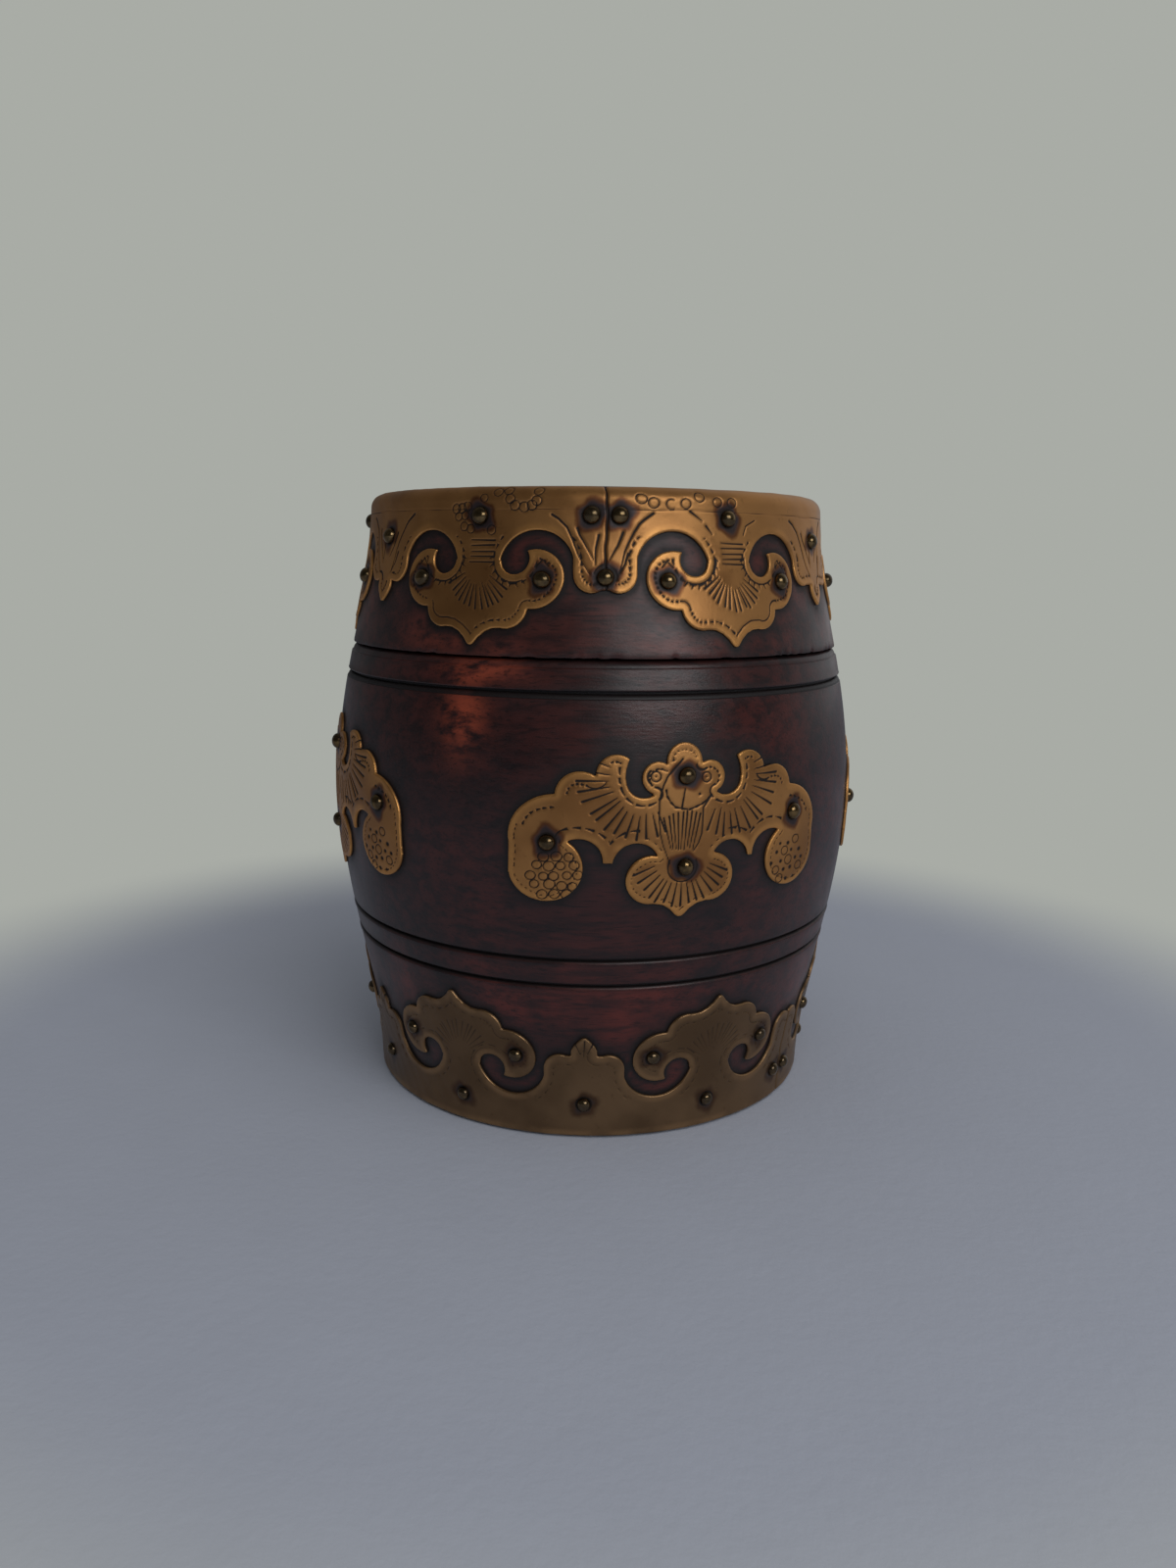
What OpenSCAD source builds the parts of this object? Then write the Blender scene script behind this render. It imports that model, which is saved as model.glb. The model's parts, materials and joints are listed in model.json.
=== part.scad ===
// Turned rosewood pot with a lift-off lid and pierced, nailed brass mounts.
// Millimetres, +Z up, origin at the centre of the foot.
// A turn is an angle round the pot, counted from the front (-Y) towards +X.

/* [Body] */
// Height of the rim above the foot
height = 118.9; // [110:0.1:130]
// Outside radius at the belly
belly_r = 53.5; // [50:0.5:58]
// Outside radius where the sides stand upright, at the foot and at the rim
end_r = 45; // [43:0.5:48]
// Height of the belly above the foot
belly_z = 61; // [55:1:67]
// Depth of the plain stretch below the cavity, with the bottom disc in it
floor_h = 9; // [7:0.5:14]
// Bevel round the foot
foot_bevel = 0.6; // [0.3:0.1:1.2]

/* [Bottom disc] */
// Radius of the disc let into the foot
disc_r = 37; // [30:0.5:38]
// Thickness of the disc
disc_t = 5; // [3:0.5:6]
// How far the disc lies above the foot
disc_recess = 1.2; // [0.6:0.1:2.5]
// Width of the ledge that the disc is glued against
disc_ledge = 2.5; // [1.5:0.5:5]

/* [Lid] */
// Height of the lid, from the seam to the rim
lid_h = 29.3; // [26:0.1:32]
// Open seam between lid and pot
seam_gap = 0.3; // [0.2:0.05:0.5]
// Wall of the lid where it drops over the spigot
lid_skirt = 3.4; // [2.6:0.1:4.5]
// Wall of the lid above the spigot
lid_wall = 5.5; // [4.5:0.1:8]
// Thickness of the top of the lid at its rim
lid_top_t = 6; // [5:0.5:9]
// Rise of the top of the lid from its rim to its middle
lid_dome = 1.6; // [0.6:0.1:3]
// Radius of the rounded edge between side and top
rim_edge_r = 2; // [1:0.1:3]
// Radius of the corner under the top
ceiling_r = 4; // [2:0.5:6]

/* [Spigot] */
// Height of the spigot that centres the lid
spigot_h = 5; // [3:0.5:8]
// Thickness of the spigot
spigot_t = 2.4; // [1.8:0.1:4]
// Gap round the spigot
lid_clear = 0.25; // [0.15:0.05:0.4]

/* [Turned lines] */
// Distance of the upper line below the seam
line_drop = 5.6; // [4:0.1:8]
// Depth of the upper line
line_d = 1.1; // [0.6:0.1:1.5]
// Height of the lower pair of lines, measured to its lower line
low_line_z = 31.4; // [31:0.1:34]
// Distance between the two lower lines
low_line_pitch = 5.1; // [4:0.1:7]
// Depth of the lower lines
low_line_d = 0.8; // [0.4:0.1:1.2]
// Open width of a turned line
line_w = 0.5; // [0.3:0.1:0.8]
// Radius of the shoulder below the seam
seam_shoulder_r = 1.3; // [0.6:0.1:1.8]

/* [Brass plate] */
// Thickness of the sheet
plate_t = 0.6; // [0.4:0.1:0.9]
// Gap between the sheet and the wood under it
bed = 0.05; // [0.03:0.01:0.1]
// Width of the sheet folded onto the top of the lid
lip_w = 3.5; // [2.8:0.1:5]
// Slit where the two ends of a collar meet
joint_slit = 0.2; // [0.1:0.05:0.4]
// Height of the lower edge of the base collar above the foot
base_edge = 0.5; // [0.4:0.1:1.5]
// Turns of the pendants on the lid, starting left of the joint
lid_pendants = [-26, 30, 94, 154, 214, 274];
// Turns of the pendants on the base, starting left of the front
base_pendants = [-31.7, 29.2, 84, 146, 207, 268];
// Distance from the rim down to the line through the scrolls
lid_scroll_drop = 14; // [12:0.1:15]
// Distance from the foot up to the line through the scrolls
base_scroll_rise = 14.6; // [13.5:0.1:16]
// Turn of the first bat
bat_turn = 17.5; // [0:0.5:89.5]
// Height of the middle of the bats above the foot
bat_z = 60; // [57:0.5:64]

/* [Nails] */
// Radius of a nail head on the lid and on the bats
head_r = 1.5; // [1.2:0.05:1.7]
// Radius of a nail head on the base collar
base_head_r = 1.3; // [1.1:0.05:1.7]
// Height of a nail head
head_h = 1.1; // [0.8:0.1:1.4]
// Radius of a nail's shank
shank_r = 0.5; // [0.35:0.05:0.6]
// Length of a shank below the head
shank_l = 4; // [3:0.5:4.5]
// Gap round a shank
nail_clear = 0.05; // [0.03:0.01:0.1]

/* [Hidden] */
$fn = 96;

wood_colour = "#4f201b";
inner_wood_colour = "#6b3a26";
brass_colour = "#93703a";
nail_colour = "#a58348";

// Longest straight stretch of the turned profile
row_h = 3;
// Far enough past any surface to cut it cleanly
past = 1;
// Radial reach of the prisms that cut the sheet, inside and outside it
prism_in = 20;
prism_out = belly_r + 10;

seam_z = height - lid_h;
lid_z0 = seam_z + seam_gap;
wood_top = height - plate_t - bed;
wall = lid_skirt + lid_clear + spigot_t;
recess_top = seam_z + spigot_h + 2 * seam_gap;
disc_top = disc_recess + disc_t;
lip_r = end_r + bed + plate_t - lip_w;
lid_scroll_z = height - lid_scroll_drop;
base_scroll_z = base_scroll_rise;

// ---- Turned profile ----

// Outside radius of the wood at height z
function profile(z) =
    let (d = (z - belly_z) / (z > belly_z ? height - belly_z : belly_z))
    belly_r - (belly_r - end_r) * (2 * d * d - pow(d, 4));

// Angle by which the outside leans upwards at height z
function lean(z) = atan((profile(z - 0.1) - profile(z + 0.1)) / 0.2);

// Outside radius of the brass at height z
function face_r(z) = profile(z) + bed + plate_t;

// Points of the outside from z0 to z1, moved outwards by out
function rows(z0, z1, out = 0) =
    let (n = ceil(abs(z1 - z0) / row_h))
    [for (i = [0 : n]) let (z = z0 + (z1 - z0) * i / n) [profile(z) + out, z]];

// Arc points from angle a0 to a1
function arc(cx, cz, r, a0, a1, n = 6) =
    [for (i = [0 : n]) let (a = a0 + (a1 - a0) * i / n) [cx + r * cos(a), cz + r * sin(a)]];

// A turned line: a round shoulder below, a groove, and a crisp edge above
function turned_line(z, d) =
    let (r = profile(z), s = 0.8 * d)
    concat(arc(r - s, z - s, s, 0, 90, 3),
           [[r - d, z], [r - d, z + line_w], [profile(z + line_w), z + line_w]]);

// ---- Places of the nails, each as [turn, height] ----

// Turn of a point that stands x to the side of turn t, seen square on, at height z
function turn_beside(t, x, z) = t + asin(x / face_r(z));

// Turn halfway between pendant i and the next
function leaf_turn(list, i) =
    i < len(list) - 1 ? (list[i] + list[i + 1]) / 2 : (list[i] + list[0] + 360) / 2;

function beside(t, z0, spots) = [for (s = spots) [turn_beside(t, s[0], z0 + s[1]), z0 + s[1]]];

// Nail places of a motif, as [sideways, upwards] from its middle
bat_spots = [[0, 10.3], [0, -5.8], [-23.6, -1.2], [22.9, 2]];
scroll_spots = [[-12.2, 1.8], [12.2, 1.8]];
joint_spots = [[-2.4, -9.1], [2.4, -9.1], [0, 1.3]];
base_joint_spots = [[-2.4, -8.5], [2.4, -8.5]];
neck_rise = 8.9;
lid_leaf_rise = 5.6;
base_leaf_rise = 7.6;

// Lid spots hang downwards, so their height is counted from the scroll line down
function flipped(spots) = [for (s = spots) [s[0], -s[1]]];

lid_joint_turn = leaf_turn(lid_pendants, 0);
base_joint_turn = leaf_turn(base_pendants, 1);

lid_neck_places = [for (t = lid_pendants) [t, lid_scroll_z + neck_rise]];
lid_scroll_places = [for (t = lid_pendants) each beside(t, lid_scroll_z, flipped(scroll_spots))];
lid_leaf_places = [for (i = [1 : 5]) [leaf_turn(lid_pendants, i), lid_scroll_z + lid_leaf_rise]];
lid_joint_places = beside(lid_joint_turn, lid_scroll_z, flipped(joint_spots));

base_foot_places = [for (t = base_pendants) [t, base_scroll_z - neck_rise]];
base_scroll_places = [for (t = base_pendants) each beside(t, base_scroll_z, scroll_spots)];
base_leaf_places = [for (i = [0, 2, 3, 4, 5])
                    [leaf_turn(base_pendants, i), base_scroll_z - base_leaf_rise]];
base_joint_places = beside(base_joint_turn, base_scroll_z, base_joint_spots);

function bat_places(i) = beside(bat_turn + 90 * i, bat_z, bat_spots);

lid_places = concat(lid_neck_places, lid_scroll_places, lid_leaf_places, lid_joint_places);
base_places = concat(base_foot_places, base_scroll_places, base_leaf_places, base_joint_places);
all_bat_places = [for (i = [0 : 3]) each bat_places(i)];

// ---- Nails ----

// Children with their Z axis square to the outside, standing on the brass
module on_face(place) {
    rotate([0, 0, place[0] - 90])
        translate([face_r(place[1]), 0, place[1]])
            rotate([0, 90 - lean(place[1]), 0])
                children();
}

module nail(r) {
    ball_r = (r * r + head_h * head_h) / (2 * head_h);
    lift = bed;
    translate([0, 0, lift])
        intersection() {
            translate([0, 0, head_h - ball_r]) sphere(ball_r);
            cylinder(h = head_h + past, r = r + past);
        }
    translate([0, 0, 1 - shank_l]) cylinder(h = shank_l - 1 + lift, r = shank_r);
    translate([0, 0, -shank_l]) cylinder(h = 1, r1 = 0.1, r2 = shank_r);
}

module nails(places, r) {
    for (p = places) on_face(p) nail(r);
}

module nail_holes(places) {
    depth = shank_l + nail_clear;
    for (p = places)
        on_face(p) translate([0, 0, -depth]) cylinder(h = depth + past, r = shank_r + nail_clear);
}

// ---- Outlines of the sheet, drawn flat: x sideways, y away from the collar's edge ----

// Two circles, one on either side
module pair(x, y, r) {
    for (side = [-1, 1]) translate([side * x, y]) circle(r);
}

// The mirror image of some points, in reverse order so that they still run anticlockwise
function mirrored(points) =
    [for (i = [len(points) - 1 : -1 : 0]) [-points[i][0], points[i][1]]];

// A right half, listed upwards, followed by its mirror image
function whole(half) = concat(half, mirrored(half));

// The arch beside a pendant, with the round eye in its scroll
arch_x = 10.7;
arch_r = 6.6;
eye_x = 7.1;
eye_y = -1.6;
eye_r = 2.6;

module arches_2d() {
    pair(arch_x, 0, arch_r);
    pair(eye_x, eye_y, eye_r);
}

// Fan-shaped pendant with a scroll on either side and an ogee point
module pendant_2d() {
    difference() {
        union() {
            polygon(whole([[4.2, -3], [4.3, -1.5], [10.6, 1.7], [10.6, 6], [5.8, 10], [4, 10.1],
                           [2.6, 10.7], [1.4, 11.7], [0.5, 12.8], [0.2, 13]]));
            pair(10.8, 1.7, 5);
            pair(6.4, 6.4, 3.7);
        }
        pair(eye_x, eye_y, eye_r);
    }
}

// Two round lobes where the ends of a collar meet; w is half the width
module joint_leaf_2d(w) {
    lobe_r = 3.1;
    polygon(whole([[w, -2], [w, 0.8], [w - lobe_r, 3.4]]));
    pair(w - lobe_r, 0.8, lobe_r);
}

// Trefoil leaf; w is half the width
module leaf_2d(w) {
    shoulder_r = 2.9;
    polygon(whole([[w, -2], [w, -0.3], [w - shoulder_r, 2.4], [2.4, 2.4], [2.4, 3.6], [1.9, 4.6],
                   [1, 5.6], [0.3, 6.2]]));
    pair(w - shoulder_r, -0.3, shoulder_r);
}

// A wing on one side: three lobes along the top, two arches below, a notch beside the head
// and a round scroll at the end; stretch moves its outer half out
module wing_2d(side, stretch) {
    foot = -4.8;
    out_x = 22.7 + stretch;
    inner = [[0, foot], [20, foot], [24, -2], [24, 4], [20, 8], [15, 11], [11, 13], [10, 8.5],
             [0, 7]];
    difference() {
        union() {
            polygon(side > 0 ? inner : mirrored(inner));
            translate([side * 12.2, 10.6]) circle(3.5);
            translate([side * (17.7 + stretch / 2), 7]) circle(4.2);
            translate([side * (21.3 + stretch), -0.2]) circle(7.4);
        }
        translate([side * 7.6, 9.7]) circle(3.1);
        intersection() {
            translate([side * 4, 10.2]) circle(6.8);
            translate([side * 7 - 7, 9.7]) square([14, 8]);
        }
        translate([side * (17.6 + stretch), -4.6]) circle(4.1);
        translate([side * 8.8, -5.4]) circle(3.9 + stretch / 4);
        translate([side * 16 - 16, foot - 8]) square([32, 8]);
    }
    translate([side * out_x, -6]) circle(5.9);
    translate([side * (out_x + 2.9) - 3, -7]) square([6, 6.8]);
}

// Head of the bat, with a round ear on each side
module head_2d() {
    translate([0, 12.8]) circle(3.2);
    pair(4.8, 10, 2.8);
    translate([-4.9, 5]) square([9.8, 7.3]);
}

// Tail of the bat: a fan of two lobes with an ogee point
module tail_2d() {
    polygon(whole([[0.3, -15], [0.9, -14.6], [1.8, -13.6], [3.2, -12.7], [5.2, -12.3],
                   [5.2, -6.2], [4.4, -5.2], [4.4, 4]]));
    pair(5.6, -8, 4.4);
}

module bat_2d() {
    wing_2d(1, 0);
    wing_2d(-1, 1);
    translate([-0.3, 0]) head_2d();
    translate([-0.5, 0]) tail_2d();
}

// ---- Sheet bent to the turned profile ----

// Prism of a flat outline, facing outwards at a turn, with its middle at height z
module facing(turn, z) {
    rotate([0, 0, turn])
        translate([0, -prism_in, z])
            rotate([90, 0, 0])
                linear_extrude(prism_out - prism_in) children();
}

// Half the width left between the arches of pendant i and the next, at height z
function leaf_w(list, i, z) =
    let (gap = (i < len(list) - 1 ? list[i + 1] : list[0] + 360) - list[i])
    face_r(z) * sin(gap / 2 - asin((arch_x + arch_r) / face_r(z))) + 0.15;

// Everything that a collar covers, as thick prisms; its edge lies edge_h below the scroll line
module collar_cutter(list, joint, z, edge_h) {
    difference() {
        translate([0, 0, -edge_h]) cylinder(h = edge_h, r = prism_out);
        for (t = list) facing(t, 0) arches_2d();
    }
    for (t = list) facing(t, 0) pendant_2d();
    for (i = [0 : len(list) - 1])
        facing(leaf_turn(list, i), 0)
            if (i == joint) joint_leaf_2d(leaf_w(list, i, z)); else leaf_2d(leaf_w(list, i, z));
}

// Slit between the two ends of a collar
module slit(turn) {
    rotate([0, 0, turn])
        translate([-joint_slit / 2, -prism_out, -past])
            cube([joint_slit, prism_out - prism_in, height + 2 * past]);
}

// Sheet from height z0 to z1 all the way round
module sheet(z0, z1) {
    rotate_extrude()
        polygon(concat(rows(z0, z1, bed), rows(z1, z0, bed + plate_t)));
}

// ---- Wooden pieces ----

module pot_barrel() {
    foot_r = profile(foot_bevel);
    upper = seam_z - line_drop;
    lower = low_line_z;
    second = low_line_z + low_line_pitch;
    step = 0.8 * low_line_d;
    spigot_r = profile(seam_z) - lid_skirt - lid_clear;
    outside = concat(
        [[foot_r - foot_bevel, 0]],
        rows(foot_bevel, lower - step - 0.2),
        turned_line(lower, low_line_d),
        rows(lower + line_w + 0.2, second - step - 0.2),
        turned_line(second, low_line_d),
        rows(second + line_w + 0.2, upper - 0.8 * line_d - 0.2),
        turned_line(upper, line_d),
        rows(upper + line_w + 0.2, seam_z - seam_shoulder_r - 0.2),
        arc(profile(seam_z) - seam_shoulder_r, seam_z - seam_shoulder_r, seam_shoulder_r, 0, 90, 5),
        [[spigot_r, seam_z], [spigot_r, seam_z + spigot_h - 0.4], [spigot_r - 0.4, seam_z + spigot_h]]);
    inside = concat(
        [[spigot_r - spigot_t, seam_z + spigot_h]],
        rows(seam_z, floor_h + 3, -wall),
        [[profile(floor_h) - wall - 2.5, floor_h], [disc_r - disc_ledge, floor_h],
         [disc_r - disc_ledge, disc_top], [disc_r, disc_top], [disc_r, 0]]);
    color(wood_colour)
        difference() {
            rotate_extrude() polygon(concat(outside, inside));
            nail_holes(base_places);
            nail_holes(all_bat_places);
        }
}

module base_disc() {
    r = disc_r - nail_clear;
    color(inner_wood_colour)
        rotate_extrude()
            polygon([[0, disc_recess], [r - foot_bevel, disc_recess], [r, disc_recess + foot_bevel],
                     [r, disc_top], [0, disc_top]]);
}

module lid_shell() {
    recess_r = profile(seam_z) - lid_skirt;
    cx = profile(wood_top - rim_edge_r) - rim_edge_r;
    dome_r = (pow(lip_r, 2) + pow(lid_dome, 2)) / (2 * lid_dome);
    dome_a = asin(lip_r / dome_r);
    ceiling = height - lid_top_t;
    cavity_r = profile(ceiling - ceiling_r) - lid_wall;
    outside = concat(
        [[profile(lid_z0) - 0.2, lid_z0]],
        rows(lid_z0 + 0.2, wood_top - rim_edge_r),
        arc(cx, wood_top - rim_edge_r, rim_edge_r, 15, 90, 5),
        [[lip_r - bed, wood_top]],
        arc(0, height + lid_dome - dome_r, dome_r, 90 - dome_a, 90, 5));
    inside = concat(
        [[0, ceiling]],
        arc(cavity_r - ceiling_r, ceiling - ceiling_r, ceiling_r, 90, 0, 5),
        rows(ceiling - ceiling_r - 1, recess_top, -lid_wall),
        [[recess_r, recess_top], [recess_r, lid_z0]]);
    color(wood_colour)
        difference() {
            rotate_extrude() polygon(concat(outside, inside));
            nail_holes(lid_places);
        }
}

// ---- Brass pieces ----

module lid_collar() {
    cx = profile(wood_top - rim_edge_r) - rim_edge_r;
    cz = wood_top - rim_edge_r;
    z0 = lid_scroll_z - 14;
    outer = concat(rows(z0, cz, bed + plate_t),
                   arc(cx, cz, rim_edge_r + bed + plate_t, 10, 90, 6),
                   [[lip_r, height]]);
    inner = concat([[lip_r, height - plate_t]],
                   arc(cx, cz, rim_edge_r + bed, 90, 10, 6),
                   rows(cz, z0, bed));
    color(brass_colour)
        difference() {
            intersection() {
                rotate_extrude() polygon(concat(outer, inner));
                translate([0, 0, lid_scroll_z])
                    mirror([0, 0, 1])
                        collar_cutter(lid_pendants, 0, lid_scroll_z, lid_scroll_drop + past);
            }
            slit(lid_joint_turn);
            nail_holes(lid_places);
        }
}

module base_collar() {
    color(brass_colour)
        difference() {
            intersection() {
                sheet(base_edge, base_scroll_z + 14);
                translate([0, 0, base_scroll_z])
                    collar_cutter(base_pendants, 1, base_scroll_z, base_scroll_rise);
            }
            slit(base_joint_turn);
            nail_holes(base_places);
        }
}

module bat_mount(i) {
    color(brass_colour)
        difference() {
            intersection() {
                sheet(bat_z - 16.7, bat_z + 18.1);
                facing(bat_turn + 90 * i, bat_z) bat_2d();
            }
            nail_holes(bat_places(i));
        }
}

module brass_nails(places, r = head_r) {
    color(nail_colour) nails(places, r);
}

pot_barrel();
base_disc();
base_collar();
brass_nails(base_leaf_places, base_head_r);  // base_leaf_nails
brass_nails(base_foot_places, base_head_r);  // base_foot_nails
brass_nails(base_scroll_places, base_head_r);  // base_scroll_nails
brass_nails(base_joint_places, base_head_r);  // base_joint_nails
bat_mount(0);  // bat_mount_1
bat_mount(1);  // bat_mount_2
bat_mount(2);  // bat_mount_3
bat_mount(3);  // bat_mount_4
brass_nails(bat_places(0));  // bat_nails_1
brass_nails(bat_places(1));  // bat_nails_2
brass_nails(bat_places(2));  // bat_nails_3
brass_nails(bat_places(3));  // bat_nails_4
lid_shell();
lid_collar();
brass_nails(lid_leaf_places);  // lid_leaf_nails
brass_nails(lid_neck_places);  // lid_neck_nails
brass_nails(lid_scroll_places);  // lid_scroll_nails
brass_nails(lid_joint_places);  // lid_joint_nails
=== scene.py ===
"""Looks of the turned rosewood pot with its lift-off lid and engraved brass mounts.

Lengths inside this script are millimetres; meshes are made in metres by MM.
A turn is an angle round the pot, counted from the front (-Y) towards +X.
"""
import json
import math

import bpy
import numpy as np
from mathutils import Euler, Matrix, Vector, kdtree

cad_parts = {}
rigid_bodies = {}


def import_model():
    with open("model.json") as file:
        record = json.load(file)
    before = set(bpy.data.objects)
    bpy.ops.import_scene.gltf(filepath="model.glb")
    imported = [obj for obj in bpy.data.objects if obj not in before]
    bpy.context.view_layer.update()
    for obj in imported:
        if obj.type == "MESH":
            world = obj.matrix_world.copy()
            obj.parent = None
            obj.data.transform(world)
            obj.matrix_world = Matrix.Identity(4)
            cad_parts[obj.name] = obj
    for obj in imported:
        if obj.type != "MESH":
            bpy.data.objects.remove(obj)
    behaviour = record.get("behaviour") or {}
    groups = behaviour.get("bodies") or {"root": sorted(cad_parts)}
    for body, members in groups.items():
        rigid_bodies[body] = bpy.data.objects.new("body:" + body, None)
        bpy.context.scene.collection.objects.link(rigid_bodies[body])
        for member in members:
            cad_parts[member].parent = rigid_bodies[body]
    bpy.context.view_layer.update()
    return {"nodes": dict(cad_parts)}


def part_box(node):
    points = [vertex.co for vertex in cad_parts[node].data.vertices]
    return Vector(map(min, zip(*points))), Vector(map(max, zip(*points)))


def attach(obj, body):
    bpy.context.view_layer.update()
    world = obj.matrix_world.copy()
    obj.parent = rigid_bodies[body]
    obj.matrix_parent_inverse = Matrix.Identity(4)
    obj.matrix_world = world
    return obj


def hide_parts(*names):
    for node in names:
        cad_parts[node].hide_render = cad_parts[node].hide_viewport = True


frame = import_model()


MM = 0.001
rng = np.random.default_rng(46)


def node_box(name):
    low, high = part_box(name)
    return np.array(low) / MM, np.array(high) / MM


# ---- Sizes of the turned shape ----

HEIGHT = node_box("lid_collar")[1][2]
BELLY_R = node_box("pot_barrel")[1][0]
END_R = 45.0
BELLY_Z = 61.0
PLATE_OUT = 0.65            # face of the brass above the wood
RIM_EDGE_R = 2.0
WOOD_TOP = HEIGHT - PLATE_OUT
LIP_R = 42.15
SEAM_Z = 89.6
LID_Z0 = node_box("lid_shell")[0][2]
LID_TOP = node_box("lid_shell")[1][2]
SPIGOT_TOP = node_box("pot_barrel")[1][2]
SKIRT, SPIGOT_T, CLEAR = 3.4, 2.4, 0.25
WALL = SKIRT + CLEAR + SPIGOT_T
LID_WALL = 5.5
CEILING = HEIGHT - 6.0
CEILING_R = 4.0
RECESS_TOP = SPIGOT_TOP + 0.6
FLOOR_H = 9.0
DISC_R, DISC_LEDGE, DISC_TOP = 37.0, 2.5, 6.2
FOOT_BEVEL = 0.6
LINES = [(31.4, 0.8), (36.5, 0.8), (84.0, 1.1)]     # height and depth of each turned line
LINE_W = 0.5
SHOULDER_R = 1.3


def profile(z):
    """Outside radius of the wood at height z."""
    z = np.asarray(z, float)
    d = (z - BELLY_Z) / np.where(z > BELLY_Z, HEIGHT - BELLY_Z, BELLY_Z)
    return BELLY_R - (BELLY_R - END_R) * (2 * d * d - d ** 4)


def around(turn, r, z):
    """Points at a turn (radians), radius and height."""
    return np.stack([r * np.sin(turn), -r * np.cos(turn), z * np.ones_like(turn)], -1)


# ---- Meridian of the brass: arc length v, radius, height, outward normal ----

ARC_X = float(profile(WOOD_TOP - RIM_EDGE_R)) - RIM_EDGE_R
ARC_Z = WOOD_TOP - RIM_EDGE_R
side_z = np.arange(0, ARC_Z, 0.1)
fillet = np.radians(np.arange(2, 91, 2))
lip_x = np.arange(ARC_X - 0.1, 30, -0.1)
MER_R = np.concatenate([profile(side_z) + PLATE_OUT,
                        ARC_X + (RIM_EDGE_R + PLATE_OUT) * np.cos(fillet), lip_x])
MER_Z = np.concatenate([side_z, ARC_Z + (RIM_EDGE_R + PLATE_OUT) * np.sin(fillet),
                        np.full(len(lip_x), HEIGHT)])
MER_V = np.concatenate([[0], np.cumsum(np.hypot(np.diff(MER_R), np.diff(MER_Z)))])
tr, tz = np.gradient(MER_R, MER_V), np.gradient(MER_Z, MER_V)
MER_NR, MER_NZ = tz / np.hypot(tr, tz), -tr / np.hypot(tr, tz)
V_FOLD = float(np.interp(ARC_Z, MER_Z[:len(side_z)], MER_V[:len(side_z)]))


def v_of(r, z):
    """Arc length on the meridian nearest to each point, and its distance."""
    best = np.full(len(r), 1e9)
    arg = np.zeros(len(r), int)
    for start in range(0, len(r), 4000):
        s = slice(start, start + 4000)
        d = np.hypot(r[s, None] - MER_R[None, :], z[s, None] - MER_Z[None, :])
        arg[s] = d.argmin(1)
        best[s] = d.min(1)
    return MER_V[arg], best


def on_meridian(v, off=0.0):
    """Radius and height at arc length v, moved outwards by off."""
    r, z = np.interp(v, MER_V, MER_R), np.interp(v, MER_V, MER_Z)
    return (r + off * np.interp(v, MER_V, MER_NR), z + off * np.interp(v, MER_V, MER_NZ))


def height_of(v):
    """Height on the side; past the fold the arc length goes on from there."""
    z = np.interp(v, MER_V, MER_Z)
    return np.where(v < V_FOLD, z, ARC_Z + v - V_FOLD)


# ---- Meshes ----

def new_piece(name, verts, faces, body, nodes):
    """A smooth mesh that rides on a body and stands for some CAD nodes."""
    mesh = bpy.data.meshes.new(name)
    mesh.from_pydata((np.asarray(verts) * MM).tolist(), [], [list(f) for f in faces])
    mesh.update()
    mesh.shade_smooth()
    obj = bpy.data.objects.new(name, mesh)
    bpy.context.scene.collection.objects.link(obj)
    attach(obj, body)
    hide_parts(*nodes)
    return obj


def point_colour(obj, name, rgb):
    """Stores three numbers per point, which the material reads by name."""
    values = np.ones((len(rgb), 4), np.float32)
    values[:, :3] = np.clip(rgb, 0, 1)
    layer = obj.data.color_attributes.new(name, "FLOAT_COLOR", "POINT")
    layer.data.foreach_set("color", values.ravel())


def node_mesh(name):
    """Welded points and polygons of a CAD node, in millimetres."""
    mesh = frame["nodes"][name].data
    co = np.empty(len(mesh.vertices) * 3)
    mesh.vertices.foreach_get("co", co)
    points, index = np.unique(np.round(co.reshape(-1, 3) / MM, 3), axis=0, return_inverse=True)
    index = index.ravel()
    return points, [[int(index[v]) for v in p.vertices] for p in mesh.polygons]


def islands(name):
    """The points of each separate solid of a CAD node."""
    points, polys = node_mesh(name)
    parent = list(range(len(points)))

    def find(a):
        while parent[a] != a:
            parent[a] = parent[parent[a]]
            a = parent[a]
        return a

    for p in polys:
        for v in p[1:]:
            parent[find(v)] = find(p[0])
    roots = np.array([find(i) for i in range(len(points))])
    return [points[roots == r] for r in np.unique(roots)]


def nail_places(*names):
    """[turn, v] of each nail of some CAD nodes, in order of turn."""
    out = []
    for name in names:
        for pts in islands(name):
            r = np.hypot(pts[:, 0], pts[:, 1])
            head = pts[r > on_meridian(v_of(r, pts[:, 2])[0])[0] - 0.01]
            mid = head.mean(0)
            v = v_of(np.array([math.hypot(mid[0], mid[1])]), np.array([mid[2]]))[0]
            out.append([math.atan2(mid[0], -mid[1]), float(v[0])])
    return sorted(out)


# ---- Wood ----

def arc(cx, cz, r, a0, a1, n=6):
    a = np.radians(np.linspace(a0, a1, n + 1))
    return list(zip(cx + r * np.cos(a), cz + r * np.sin(a)))


def rows(z0, z1, out=0.0, step=0.7):
    n = max(1, int(abs(z1 - z0) / step))
    z = np.linspace(z0, z1, n + 1)
    return list(zip(profile(z) + out, z))


def turned_line(z, depth):
    """A round shoulder below, a groove and a worn edge above."""
    r, s, top = float(profile(z)), 0.8 * depth, z + LINE_W
    rt = float(profile(top))
    return (arc(r - s, z - s, s, 0, 90, 6)
            + [(r - depth, z), (r - depth, top)]
            + [(rt - 0.25, top), (rt - 0.07, top + 0.08), (rt, top + 0.25)])


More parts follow.
